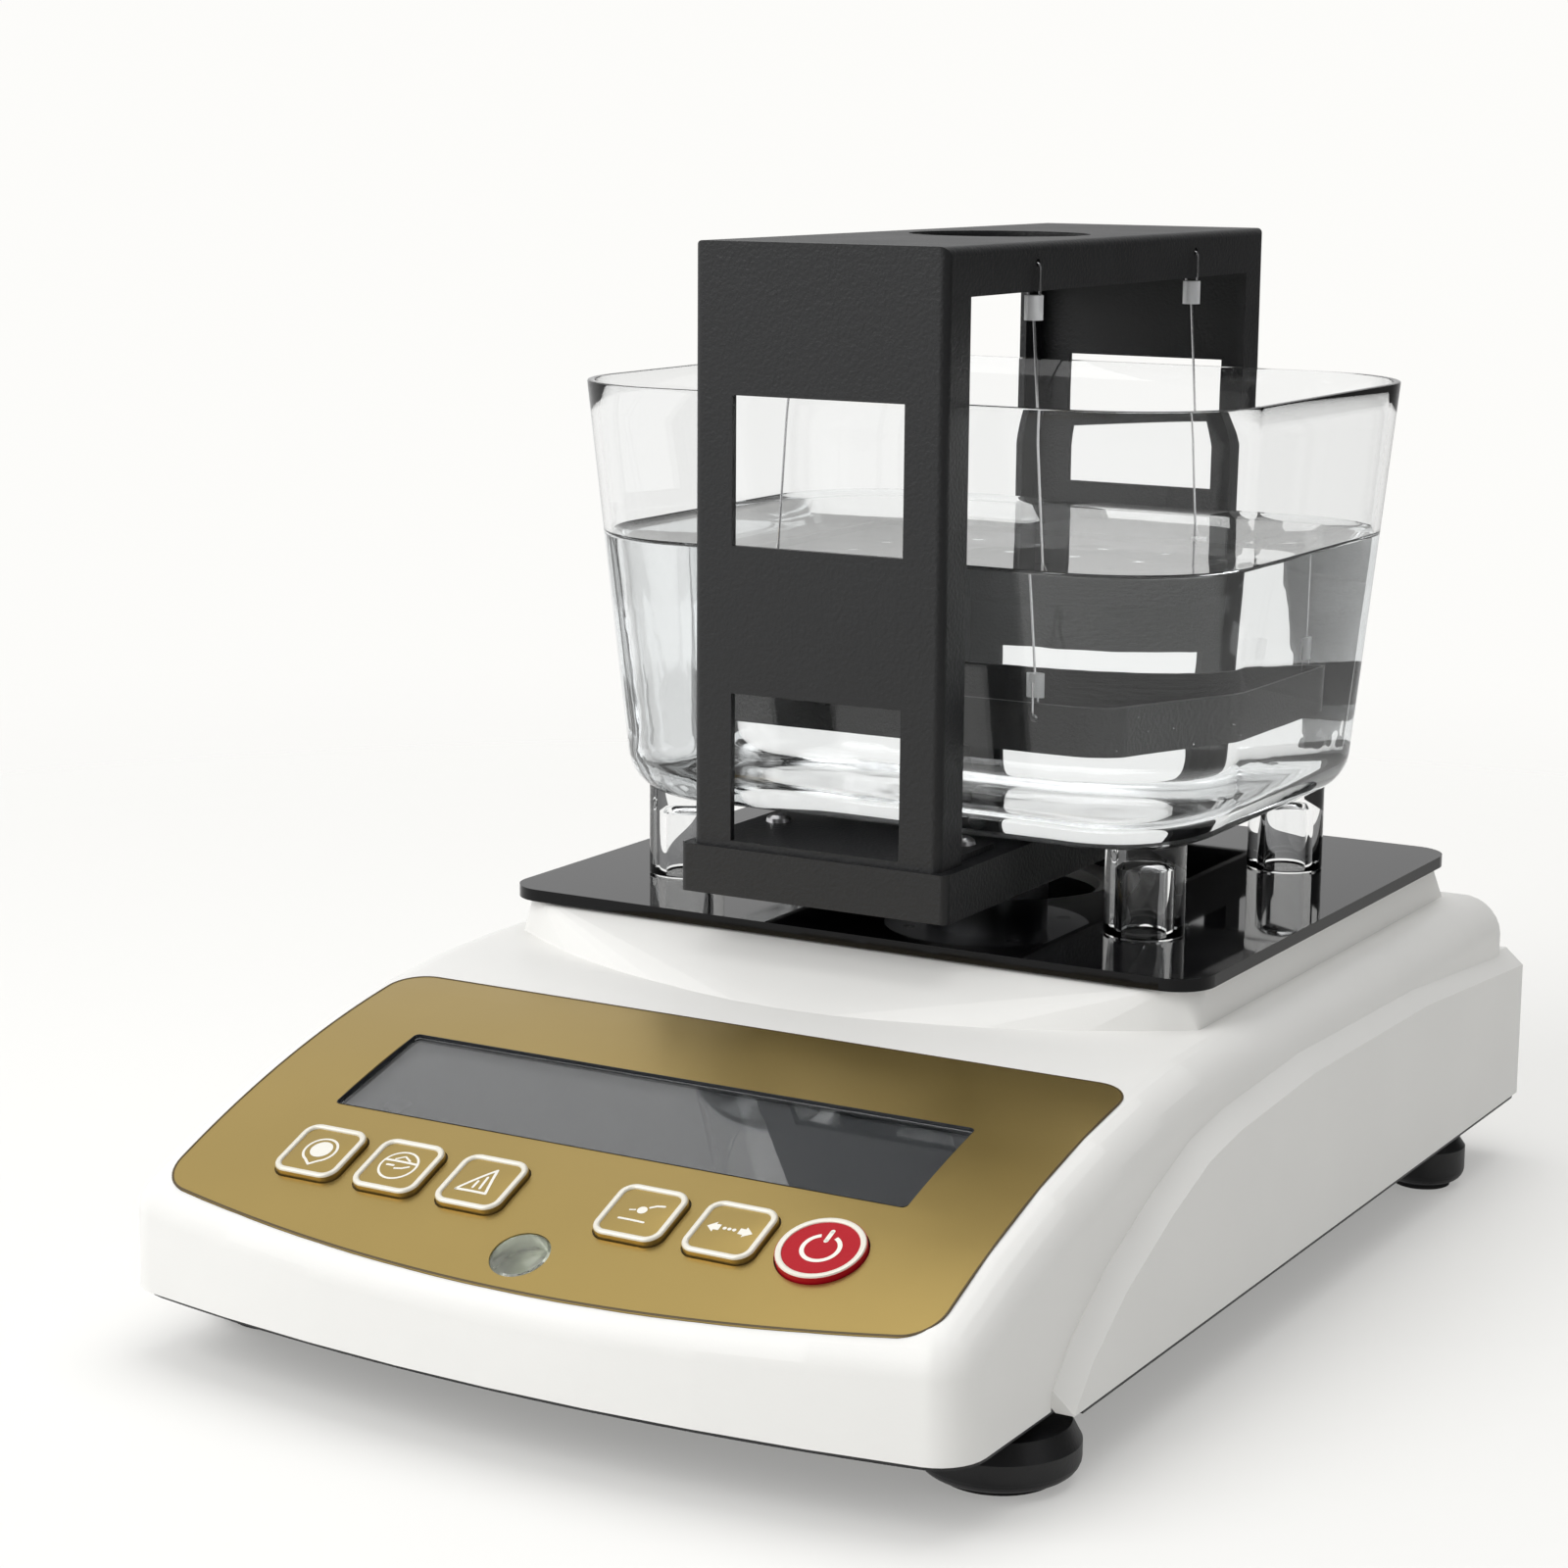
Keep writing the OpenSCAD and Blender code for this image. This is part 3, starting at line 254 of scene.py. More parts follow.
SLEEVE = Clear("clear_sleeve", (0.9, 0.91, 0.92), 1.45, roughness=0.3, milk=0.6)
LENS = Clear("window_lens", (0.86, 0.87, 0.88), 1.49, roughness=0.015)
# Painted shade: a thin dark brown strip that stands for the shade in the seam round the gold overlay.
PAINTED_SEAM_SHADE = Finish("painted_seam_shade", (0.09, 0.06, 0.02), 0.5, texture=Texture.SMOOTH)
BUBBLE = Clear("air_bubble", (1.0, 1.0, 1.0), 0.75)
VIAL_GLASS = Clear("vial_glass", (0.86, 0.9, 0.8), 1.49)

CAD_FINISHES: dict[str, Finish | Clear] = {
    "top_cover": HOUSING, "base_tray": BLACK_ABS, "cover_screws": STEEL, "platform_plate": BLACK_SHEET,
    "overlay_panel": GOLD_FILM, "display_window": LENS, "lcd_module": LCD_FACE, "level_vial": VIAL_GLASS,
    "keypad_board": BOARD, "key_switches": BLACK_ABS, "panel_screws": STEEL, "keypad_ribbon": RIBBON,
    "main_board": BOARD, "board_screws": STEEL, "port_board": BOARD, "power_jack": BLACK_ABS,
    "data_port": STEEL, "load_cell": ALUMINIUM, "cell_mount": ALUMINIUM, "cell_screws": STEEL,
    "overload_stop": STEEL, "pan_carrier": ALUMINIUM, "carrier_post": ALUMINIUM, "carrier_screws": STEEL,
    "frame_base": POWDER, "portal_frame": POWDER, "frame_screws": STEEL, "air_dish": POWDER,
    "water_tank": ACRYLIC, "tank_feet": ACRYLIC,
    "hanger_wires_front": WIRE, "hanger_wires_back": WIRE, "wire_crimps_front": SLEEVE,
    "wire_crimps_back": SLEEVE, "weighing_tray": POWDER, "foot_inserts": BRASS, "power_key": RED_CAP,
}
KEYS = ("key_1", "key_2", "key_3", "key_4", "key_5")
CORNERS = ("fl", "fr", "rl", "rr")
CAD_FINISHES |= {key: GOLD_FILM for key in KEYS}
CAD_FINISHES |= {f"foot_knob_{c}": BLACK_ABS for c in CORNERS}
CAD_FINISHES |= {f"foot_sole_{c}": RUBBER for c in CORNERS}


class Paint:
    """Keeps one material for each finish."""

    _made: dict[str, bpy.types.Material] = {}

    @classmethod
    def of(cls, finish: Finish | Clear) -> bpy.types.Material:
        """Finds the material of a finish, and makes it the first time.

        Args:
            finish: The finish.

        Returns:
            Its one material.
        """
        if finish.name not in cls._made:
            cls._made[finish.name] = finish.build()
        return cls._made[finish.name]


# ------------------------------------------------------------------ mesh helpers

WELD = 1e-7

def rounded_ring(hx: float, hy: float, r: float, per_corner: int = 12) -> list[tuple[float, float]]:
    """Points of a rectangle with round corners, anticlockwise.

    Args:
        hx: Half width.
        hy: Half depth.
        r: Corner radius.
        per_corner: Steps in each corner.

    Returns:
        The points, the same number for any size.
    """
    points = []
    for corner, (sx, sy) in enumerate(((1, 1), (-1, 1), (-1, -1), (1, -1))):
        for step in range(per_corner + 1):
            a = math.radians(90 * corner + 90 * step / per_corner)
            points.append((sx * (hx - r) + r * math.cos(a), sy * (hy - r) + r * math.sin(a)))
    return points


def loft(rings: Sequence[Sequence[Point]], close_start: bool = True,
         close_end: bool = True) -> bmesh.types.BMesh:
    """Skins a row of rings that have the same number of points.

    Args:
        rings: The rings, in order.
        close_start: Whether the first ring gets a lid.
        close_end: Whether the last ring gets a lid.

    Returns:
        A bmesh with its faces turned outwards.
    """
    bm = bmesh.new()
    rows = [[bm.verts.new(p) for p in ring] for ring in rings]
    for a, b in zip(rows, rows[1:]):
        for i in range(len(a)):
            j = (i + 1) % len(a)
            bm.faces.new((a[i], a[j], b[j], b[i]))
    if close_start:
        bm.faces.new(list(reversed(rows[0])))
    if close_end:
        bm.faces.new(rows[-1])
    bmesh.ops.remove_doubles(bm, verts=bm.verts, dist=WELD)
    bmesh.ops.recalc_face_normals(bm, faces=bm.faces)
    return bm


def piece(name: str, bm: bmesh.types.BMesh, finish: Finish | Clear, body: str, smooth: float = 35.0) -> bpy.types.Object:
    """Turns a bmesh into a piece of the object.

    Args:
        name: Name of the piece.
        bm: The mesh, in the row's frame. It is freed.
        finish: Its finish.
        body: The body that it rides on.
        smooth: Edges flatter than this many degrees are shaded smooth.

    Returns:
        The new object.
    """
    mesh = bpy.data.meshes.new(name)
    bm.to_mesh(mesh)
    bm.free()
    mesh.materials.append(Paint.of(finish))
    obj = bpy.data.objects.new(name, mesh)
    bpy.context.scene.collection.objects.link(obj)
    mesh.shade_smooth()
    mesh.set_sharp_from_angle(angle=math.radians(smooth))
    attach(obj, body)
    log.info("%s rides on %s, %d faces", name, body, len(mesh.polygons))
    return obj


# ------------------------------------------------------------------ studio


@dataclass
class Studio:
    """Camera, lamps, floor and the white surroundings."""

    camera_at: Point = (0.32283, -0.59110, 0.22690)
    yaw: float = 30.141
    pitch: float = 10.953
    roll: float = 0.432
    lens: float = 78.826
    backdrop: Colour = (0.98, 0.975, 0.955)
    ambient: tuple[float, float] = (0.86, 0.40)
    mirrored: tuple[float, float] = (0.78, 0.04)
    dim_side: Point = (1.0, 0.0, 0.0)
    floor_fade: tuple[float, float] = (0.3, 0.8)
    floor_colour: Colour = (0.9, 0.895, 0.875)
    floor_size: float = 30.0
    floor_haze: float = 0.3
    side_ramp: float = 0.45
    sensor: float = 36.0
    aim: Point = (0.0, 0.0, 0.08)
    bounces: int = 32

    def camera(self) -> None:
        """Stands the camera where the photograph was taken from."""
        data = bpy.data.cameras.new("camera")
        data.lens = self.lens
        data.sensor_width = self.sensor
        data.clip_start = 0.01
        cam = bpy.data.objects.new("camera", data)
        bpy.context.scene.collection.objects.link(cam)
        yaw, pitch, roll = (math.radians(a) for a in (self.yaw, self.pitch, self.roll))
        back = Vector((math.sin(yaw) * math.cos(pitch), -math.cos(yaw) * math.cos(pitch), math.sin(pitch)))
        right = Vector((math.cos(yaw), math.sin(yaw), 0))
        up = back.cross(right)
        tilted_right = right * math.cos(roll) + up * math.sin(roll)
        tilted_up = up * math.cos(roll) - right * math.sin(roll)
        turn = Matrix((tilted_right, tilted_up, back)).transposed()
        cam.matrix_world = Matrix.Translation(self.camera_at) @ turn.to_4x4()
        bpy.context.scene.camera = cam

    def lamps(self) -> None:
        """Hangs the soft boxes: a large one ahead on the left, one overhead, a weak one on the right."""
        self._lamp("key", (-0.75, -1.25, 1.15), 1.1, 14.0)
        self._lamp("overhead", (0.1, 0.25, 1.6), 1.3, 8.0)
        self._lamp("side", (1.5, -0.3, 0.7), 0.9, 1.0)

    def _lamp(self, name: str, at: Point, size: float, watts: float) -> None:
        """Adds one square soft box aimed at the middle of the object."""
        data = bpy.data.lights.new(name, "AREA")
        data.size = size
        data.energy = watts
        lamp = bpy.data.objects.new(name, data)
        lamp.location = at
        lamp.rotation_mode = "QUATERNION"
        lamp.rotation_quaternion = (Vector(self.aim) - Vector(at)).to_track_quat("-Z", "Y")
        bpy.context.scene.collection.objects.link(lamp)

    def surroundings(self) -> None:
        """Paints the world: white where it is seen, dimmer to the right where it lights or mirrors."""
        world = bpy.data.worlds.new("white_room")
        bpy.context.scene.world = world
        world.use_nodes = True
        tree = world.node_tree
        rays = tree.nodes.new("ShaderNodeLightPath")
        seen = tree.nodes["Background"]
        seen.inputs["Color"].default_value = (*self.backdrop, 1.0)
        side = self._side(tree)
        light = self._sky(tree, side, self.ambient)
        mirrored = self._sky(tree, side, self.mirrored)
        below = self._pick(tree, rays.outputs["Is Glossy Ray"], light, mirrored)
        clear = tree.nodes.new("ShaderNodeMath")
        clear.operation = "MAXIMUM"
        tree.links.new(rays.outputs["Is Camera Ray"], clear.inputs[0])
        tree.links.new(rays.outputs["Is Transmission Ray"], clear.inputs[1])
        out = self._pick(tree, clear.outputs[0], below, seen.outputs[0])
        tree.links.new(out, tree.nodes["World Output"].inputs["Surface"])

    def _side(self, tree: bpy.types.NodeTree) -> bpy.types.NodeSocket:
        """Returns a socket that runs from 0 towards the left to 1 towards the right."""
        split = tree.nodes.new("ShaderNodeVectorMath")
        split.operation = "DOT_PRODUCT"
        split.inputs[1].default_value = self.dim_side
        tree.links.new(tree.nodes.new("ShaderNodeTexCoord").outputs["Generated"], split.inputs[0])
        span = tree.nodes.new("ShaderNodeMapRange")
        span.inputs["From Min"].default_value = -self.side_ramp
        span.inputs["From Max"].default_value = self.side_ramp
        tree.links.new(split.outputs["Value"], span.inputs["Value"])
        return span.outputs["Result"]

    def _sky(self, tree: bpy.types.NodeTree, side: bpy.types.NodeSocket,
             levels: tuple[float, float]) -> bpy.types.NodeSocket:
        """Returns a white background whose strength falls from the bright side to the dim one."""
        span = tree.nodes.new("ShaderNodeMapRange")
        span.inputs["To Min"].default_value, span.inputs["To Max"].default_value = levels
        tree.links.new(side, span.inputs["Value"])
        sky = tree.nodes.new("ShaderNodeBackground")
        tree.links.new(span.outputs["Result"], sky.inputs["Strength"])
        sky.inputs["Color"].default_value = (1.0, 1.0, 1.0, 1.0)
        return sky.outputs[0]

    def _pick(self, tree: bpy.types.NodeTree, fac: bpy.types.NodeSocket, low: bpy.types.NodeSocket,
              high: bpy.types.NodeSocket) -> bpy.types.NodeSocket:
        """Returns low where fac is 0 and high where it is 1."""
        mix = tree.nodes.new("ShaderNodeMixShader")
        tree.links.new(fac, mix.inputs["Fac"])
        tree.links.new(low, mix.inputs[1])
        tree.links.new(high, mix.inputs[2])
        return mix.outputs[0]

    def floor(self) -> None:
        """Lays the plain pale floor, which keeps the object's shadow."""
        bm = bmesh.new()
        bmesh.ops.create_grid(bm, x_segments=1, y_segments=1, size=self.floor_size)
        mesh = bpy.data.meshes.new("floor")
        bm.to_mesh(mesh)
        bm.free()
        mat = bpy.data.materials.new("pale_floor")
        mat.use_nodes = True
        self._fading(mat.node_tree)
        mesh.materials.append(mat)
        obj = bpy.data.objects.new("floor", mesh)
        bpy.context.scene.collection.objects.link(obj)

    def _fading(self, tree: bpy.types.NodeTree) -> None:
        """Makes the floor's surface fade into the backdrop away from the object."""
        shader = tree.nodes["Principled BSDF"]
        shader.inputs["Base Color"].default_value = (*self.floor_colour, 1.0)
        shader.inputs["Roughness"].default_value = 0.9
        shader.inputs["Specular IOR Level"].default_value = 0.1
        reach = tree.nodes.new("ShaderNodeVectorMath")
        reach.operation = "LENGTH"
        tree.links.new(tree.nodes.new("ShaderNodeTexCoord").outputs["Object"], reach.inputs[0])
        span = tree.nodes.new("ShaderNodeMapRange")
        span.interpolation_type = "SMOOTHSTEP"
        span.inputs["From Min"].default_value, span.inputs["From Max"].default_value = self.floor_fade
        span.inputs["To Min"].default_value = self.floor_haze
        tree.links.new(reach.outputs["Value"], span.inputs["Value"])
        mix = tree.nodes.new("ShaderNodeMixShader")
        tree.links.new(span.outputs["Result"], mix.inputs["Fac"])
        tree.links.new(shader.outputs[0], mix.inputs[1])
        tree.links.new(tree.nodes.new("ShaderNodeBsdfTransparent").outputs[0], mix.inputs[2])
        tree.links.new(mix.outputs[0], tree.nodes["Material Output"].inputs["Surface"])

    def build(self) -> None:
        """Sets the whole studio up."""
        self.camera()
        self.lamps()
        self.surroundings()
        self.floor()
        scene = bpy.context.scene
        scene.view_settings.view_transform = "Standard"
        scene.cycles.max_bounces = self.bounces
        scene.cycles.transmission_bounces = self.bounces


def dress_cad() -> None:
    """Puts each CAD node's finish in its material slots."""
    for name, finish in CAD_FINISHES.items():
        node = frame["nodes"][name]
        node.data.materials.clear()
        node.data.materials.append(Paint.of(finish))
        log.info("%s wears %s", name, finish.name)


def skin(node: str, body: str, crease: float = 14.0) -> bpy.types.Object:
    """Lays a skin over a solid: its own shape, with the rounded edges shaded evenly.

    Args:
        node: The CAD node.
        body: The body that it belongs to.
        crease: Edges sharper than this many degrees stay crisp.

    Returns:
        The skin, which takes the place of the node.
    """
    source = frame["nodes"][node].data
    bm = bmesh.new()
    verts = [bm.verts.new(v.co) for v in source.vertices]
    for polygon in source.polygons:
        bm.faces.new([verts[i] for i in polygon.vertices])
    bmesh.ops.remove_doubles(bm, verts=bm.verts, dist=0.001 * MM)
    cover = piece(f"{node}_skin", bm, CAD_FINISHES[node], body, crease)
    modifier = cover.modifiers.new("even", "WEIGHTED_NORMAL")
    modifier.keep_sharp = True
    modifier.weight = 100
    even = bpy.data.meshes.new_from_object(cover.evaluated_get(bpy.context.evaluated_depsgraph_get()))
    cover.modifiers.remove(modifier)
    cover.data = even
    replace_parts(cover, node)
    return cover


def skins() -> None:
    """Lays the skins over the housing and the knobs."""
    skin("top_cover", "root")
    for corner in CORNERS:
        skin(f"foot_knob_{corner}", f"knob_{corner}")


# ------------------------------------------------------------------ front panel


@dataclass(frozen=True)
class Deck:
    """The housing's deck: flat at the back, then an arc that falls towards the operator."""

    height: float = 59.4 * MM
    start: float = -14 * MM
    front: float = -135 * MM
    nose: float = 29.33 * MM

    @property
    def radius(self) -> float:
        """Radius of the arc."""
        drop = self.height - self.nose
        return ((self.start - self.front) ** 2 + drop ** 2) / (2 * drop)

    def tilt(self, y: float) -> float:
        """Slope of the deck at y, in radians."""
        return math.asin(max(0.0, self.start - y) / self.radius)

    def z(self, y: float) -> float:
        """Height of the deck at y."""
        return self.height - self.radius * (1 - math.cos(self.tilt(y)))

    def place(self, y: float, x: float = 0.0, lift: float = 0.0) -> Matrix:
        """Frame that lies on the deck.

        Args:
            y: Where along the deck.
            x: Shift to the right.
            lift: Distance above the deck.

        Returns:
            The frame, its Z along the deck's normal.
        """
        local = Matrix.Translation((x, 0, lift))
        return Matrix.Translation((0, y, self.z(y))) @ Matrix.Rotation(self.tilt(y), 4, "X") @ local


DECK = Deck()


class Inlay:
    """Flat signs laid on a gently domed face, as thin ribbons and patches."""

    DISC_STEPS = 28
    ARC_STEPS = 48
    LINE_STEP = 0.5

    def __init__(self, height: Callable[[float, float], float], lift: float = 0.03 * MM) -> None:
        """Starts an empty inlay.

        Args:
            height: Height of the face under a point.
            lift: How far the sign stands above the face.
        """
        self.bm = bmesh.new()
        self.height = height
        self.lift = lift

    def _vert(self, x: float, y: float) -> bmesh.types.BMVert:
        """One vertex just above the face."""
        return self.bm.verts.new((x, y, self.height(x, y) + self.lift))

    def patch(self, outline: Iterable[tuple[float, float]]) -> None:
        """Fills a convex outline, given in millimetres."""
        points = [(x * MM, y * MM) for x, y in outline]
        cx, cy = (sum(p[i] for p in points) / len(points) for i in (0, 1))
        centre = self._vert(cx, cy)
        ring = [self._vert(*p) for p in points]
        for i, v in enumerate(ring):
            self.bm.faces.new((centre, v, ring[(i + 1) % len(ring)]))

    def disc(self, x: float, y: float, r: float) -> None:
        """Fills a circle."""
        angles = [math.tau * i / self.DISC_STEPS for i in range(self.DISC_STEPS)]
        self.patch((x + r * math.cos(a), y + r * math.sin(a)) for a in angles)

    def line(self, points: Sequence[tuple[float, float]], width: float = 0.5) -> None:
        """Draws a line with round ends, given in millimetres."""
        for a, b in zip(points, points[1:]):
            length = math.dist(a, b)
            count = max(1, round(length / self.LINE_STEP))
            nx, ny = (a[1] - b[1]) / length * width / 2, (b[0] - a[0]) / length * width / 2
            pairs = []
            for i in range(count + 1):
                x, y = (a[k] + (b[k] - a[k]) * i / count for k in (0, 1))
                pairs.append([self._vert((x + k * nx) * MM, (y + k * ny) * MM) for k in (1, -1)])
            for p, q in zip(pairs, pairs[1:]):
                self.bm.faces.new((p[0], p[1], q[1], q[0]))
            self.disc(*b, width / 2)
        self.disc(*points[0], width / 2)

    def arc(self, r: float, width: float, start: float = 0.0, end: float = 360.0) -> None:
        """Draws part of a circle about the middle, in millimetres and degrees."""
        pairs = []
        for i in range(self.ARC_STEPS + 1):
            a = math.radians(start + (end - start) * i / self.ARC_STEPS)
            radii = [r + k * width / 2 for k in (-1, 1)]
            pairs.append([self._vert(q * math.cos(a) * MM, q * math.sin(a) * MM) for q in radii])
        for p, q in zip(pairs, pairs[1:]):
            self.bm.faces.new((p[0], p[1], q[1], q[0]))


class Sign(Enum):
    """The generic sign on each key."""

    DISC = "key_1"
    BANDS = "key_2"
    SLOPE = "key_3"
    PIVOT = "key_4"
    ARROWS = "key_5"

    def draw(self, ink: Inlay) -> None:
        """Draws the sign."""
        {Sign.DISC: self._disc, Sign.BANDS: self._bands, Sign.SLOPE: self._slope, Sign.PIVOT: self._pivot,
         Sign.ARROWS: self._arrows}[self](ink)

    def _disc(self, ink: Inlay) -> None:
        """A disc in an open ring, with a chevron under it."""
        ink.disc(0.1, 0.2, 2.2)
        ink.arc(3.25, 0.5, -65, 245)
        ink.line([(-1.4, -2.95), (0, -4.1), (1.4, -2.95)], 0.5)

    def _bands(self, ink: Inlay) -> None:
        """A ring with bands across it."""
        ink.arc(3.7, 0.45)
        ink.line([(-3.4, 1.0), (3.4, 1.0)], 0.55)
        ink.line([(-1.5, 1.5), (0, 2.5), (1.6, 1.5)], 0.4)
        ink.line([(-2.3, -0.3), (-0.9, -0.3)], 0.5)
        ink.line([(-0.2, -1.0), (1.2, -0.7), (2.3, 0.0)], 0.45)

    def _slope(self, ink: Inlay) -> None:
        """A triangle with two strokes in it."""
        ink.line([(-3.7, -2.9), (2.7, -2.9), (1.3, 3.5), (-3.7, -2.9)], 0.55)
        ink.line([(0.9, -1.9), (0.7, 1.2)], 0.5)
        ink.line([(-0.6, -1.9), (-0.5, -0.2)], 0.5)

    def _pivot(self, ink: Inlay) -> None:
        """A dot on a line, with a swinging arm."""
        ink.disc(0.1, 0.5, 0.95)
        ink.line([(1.2, 1.5), (2.2, 2.2), (3.5, 2.5)], 0.5)
        ink.line([(-2.2, 0.1), (-1.2, 0.3)], 0.35)
        ink.line([(-3.1, -2.3), (2.0, -2.4)], 0.45)

    def _arrows(self, ink: Inlay) -> None:
        """Two arrows that point apart, with dots between them."""
        for s in (-1, 1):
            ink.patch([(s * 4.5, 0), (s * 2.9, 1.35), (s * 2.9, -1.35)][::s])
            ink.patch([(s * 3.0, 0.75), (s * 1.9, 0.75), (s * 1.9, -0.75), (s * 3.0, -0.75)])
            ink.disc(s * 0.95, 0.0, 0.38)
        ink.disc(0.0, 0.0, 0.38)


@dataclass
class FrontPanel:
    """Visible dressing of the arched front panel: key rings, signs, display, and painted seam shade round
    the overlay.
    """

    key_y: float = -111.4 * MM
    key_x: tuple[float, ...] = (-52.8, -35.2, -17.0, 16.5, 34.5)
    power_x: float = 52.3
    proud: float = 0.9 * MM
    face_half: float = 5.95 * MM
    bulge: float = 0.28 * MM
    rim_half: float = 6.35 * MM
    rim_corner: float = 2.45 * MM
    power_rim: float = 7.35
    window_y: float = -84.4 * MM
    window_half: tuple[float, float] = (60.5 * MM, 13.35 * MM)

    def _dome(self, x: float, y: float) -> float:
        """Height of a square key's domed face."""
        a = self.face_half
        return self.bulge * max(0.0, 1 - (x / a) ** 2) * max(0.0, 1 - (y / a) ** 2)

    def square_key(self, sign: Sign, x: float) -> None:
        """Dresses one square key with its rim, domed face and sign."""
        place = DECK.place(self.key_y, x * MM, self.proud)
        half, r = self.rim_half, self.rim_corner
        angles = [math.radians(180 - 20 * i) for i in range(10)]
        profile = [(0.6 * math.cos(a), 0.5 * math.sin(a)) for a in angles]
        rim = loft([[(px, py, h * MM) for px, py in rounded_ring(half + o * MM, half + o * MM, r + o * MM)]
                    for o, h in profile], close_start=False, close_end=False)
        rim.transform(place)
        piece(f"{sign.value}_rim", rim, PALE_EMBOSS, sign.value)
        face = bmesh.new()
        bmesh.ops.create_grid(face, x_segments=20, y_segments=20, size=self.face_half)
        for v in face.verts:
            v.co.z = self._dome(v.co.x, v.co.y) + 0.01 * MM
        face.transform(place)
        piece(f"{sign.value}_face", face, GOLD_FILM, sign.value)
        ink = Inlay(self._dome)
        sign.draw(ink)
        ink.bm.transform(place)
        piece(f"{sign.value}_sign", ink.bm, WHITE_PRINT, sign.value)

    def power_key(self) -> None:
        """Dresses the round key with its pale rim and the power sign."""
        place = DECK.place(self.key_y, self.power_x * MM, self.proud)
        profile = [(-0.55, 0.0), (-0.5, 0.18), (-0.3, 0.3), (0.1, 0.32), (0.4, 0.25), (0.55, 0.05),
                   (0.58, -0.5)]
        rim = loft([[(px, py, h * MM) for px, py in rounded_ring(*((self.power_rim + o) * MM,) * 3)]
                    for o, h in profile], close_start=False, close_end=False)
        rim.transform(place)
        piece("power_key_rim", rim, PALE_EMBOSS, "power_key")
        ink = Inlay(lambda x, y: 0.0)
        ink.arc(3.3, 0.8, 115, 425)
        ink.line([(0, 1.9), (0, 4.5)], 0.85)
        ink.bm.transform(place)
        piece("power_key_sign", ink.bm, WHITE_PRINT, "power_key")

    def display(self) -> None:
        """Puts a lens, a dark well and the display's face in the window."""
        hx, hy = self.window_half
        top, under, deep = -0.95 * MM, -1.5 * MM, -2.43 * MM
        place = DECK.place(self.window_y)

        def ring(grow: float, z: float) -> list[Point]:
            """A ring of the window, grown by so much."""
            return [(x, y, z) for x, y in rounded_ring(hx + grow * MM, hy + grow * MM, (1 + grow) * MM, 6)]

        lens = loft([ring(-0.02, under), ring(-0.02, top - 0.15 * MM), ring(-0.17, top)])
        lens.transform(place)
        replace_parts(piece("display_lens", lens, LENS, "root"), "display_window")
        well = loft([ring(0.12, -0.3 * MM), ring(0.02, -0.3 * MM), ring(0.02, deep)], False, False)
        well.transform(place)
        piece("display_well", well, LCD_FRAME, "root")
        face = loft([ring(0.0, deep - 0.01 * MM), ring(0.0, deep)])
        face.transform(place)
        piece("display_face", face, LCD_FACE, "root")

    def _outline(self, grow: float) -> list[tuple[float, float]]:
        """Outline of the overlay in plan, grown by so many millimetres."""
        hw, back, apex, bow, corner = 80 + grow, -47 + grow, -132 - grow, 415 + grow, 7 + grow
        bow_c = apex + bow
        cy = bow_c - math.sqrt((bow - corner) ** 2 - (hw - corner) ** 2)
        tilt = math.degrees(math.atan2(cy - bow_c, hw - corner))

        def arc(cx: float, cy: float, r: float, a0: float, a1: float, n: int) -> list[tuple[float, float]]:
            """Points of an arc."""
            angles = [math.radians(a0 + (a1 - a0) * i / n) for i in range(n + 1)]
            return [(cx + r * math.cos(a), cy + r * math.sin(a)) for a in angles]

        right = arc(hw - corner, cy, corner, tilt, 0, 10)
        side = [(hw, cy + (back - corner - cy) * i / 24) for i in range(1, 24)]
        right += side + arc(hw - corner, back - corner, corner, 0, 90, 10)
        left = [(-x, y) for x, y in reversed(right)]
        front = arc(0, bow_c, bow, 180 - tilt, 360 + tilt, 40)[1:-1]
        return [(x * MM, y * MM) for x, y in right + left + front]

    def painted_seam_shade(self) -> None:
        """Lays a thin dark strip round the overlay: painted shade of the seam between the overlay and the
        housing.
        """
        rings = [[(x, y, DECK.z(y) + lift * MM) for x, y in self._outline(grow)]
                 for grow, lift in ((-0.14, 0.0), (-0.1, 0.03), (0.2, 0.03), (0.26, -0.06))]
        piece("overlay_seam_shade", loft(rings, False, False), PAINTED_SEAM_SHADE, "root")

    def build(self) -> None:
        """Dresses the whole panel."""
        for sign, x in zip(Sign, self.key_x):
            self.square_key(sign, x)
        self.power_key()
        self.display()
        # painted shade: a thin dark strip in the seam round the overlay
        self.painted_seam_shade()


# ------------------------------------------------------------------ repeated details


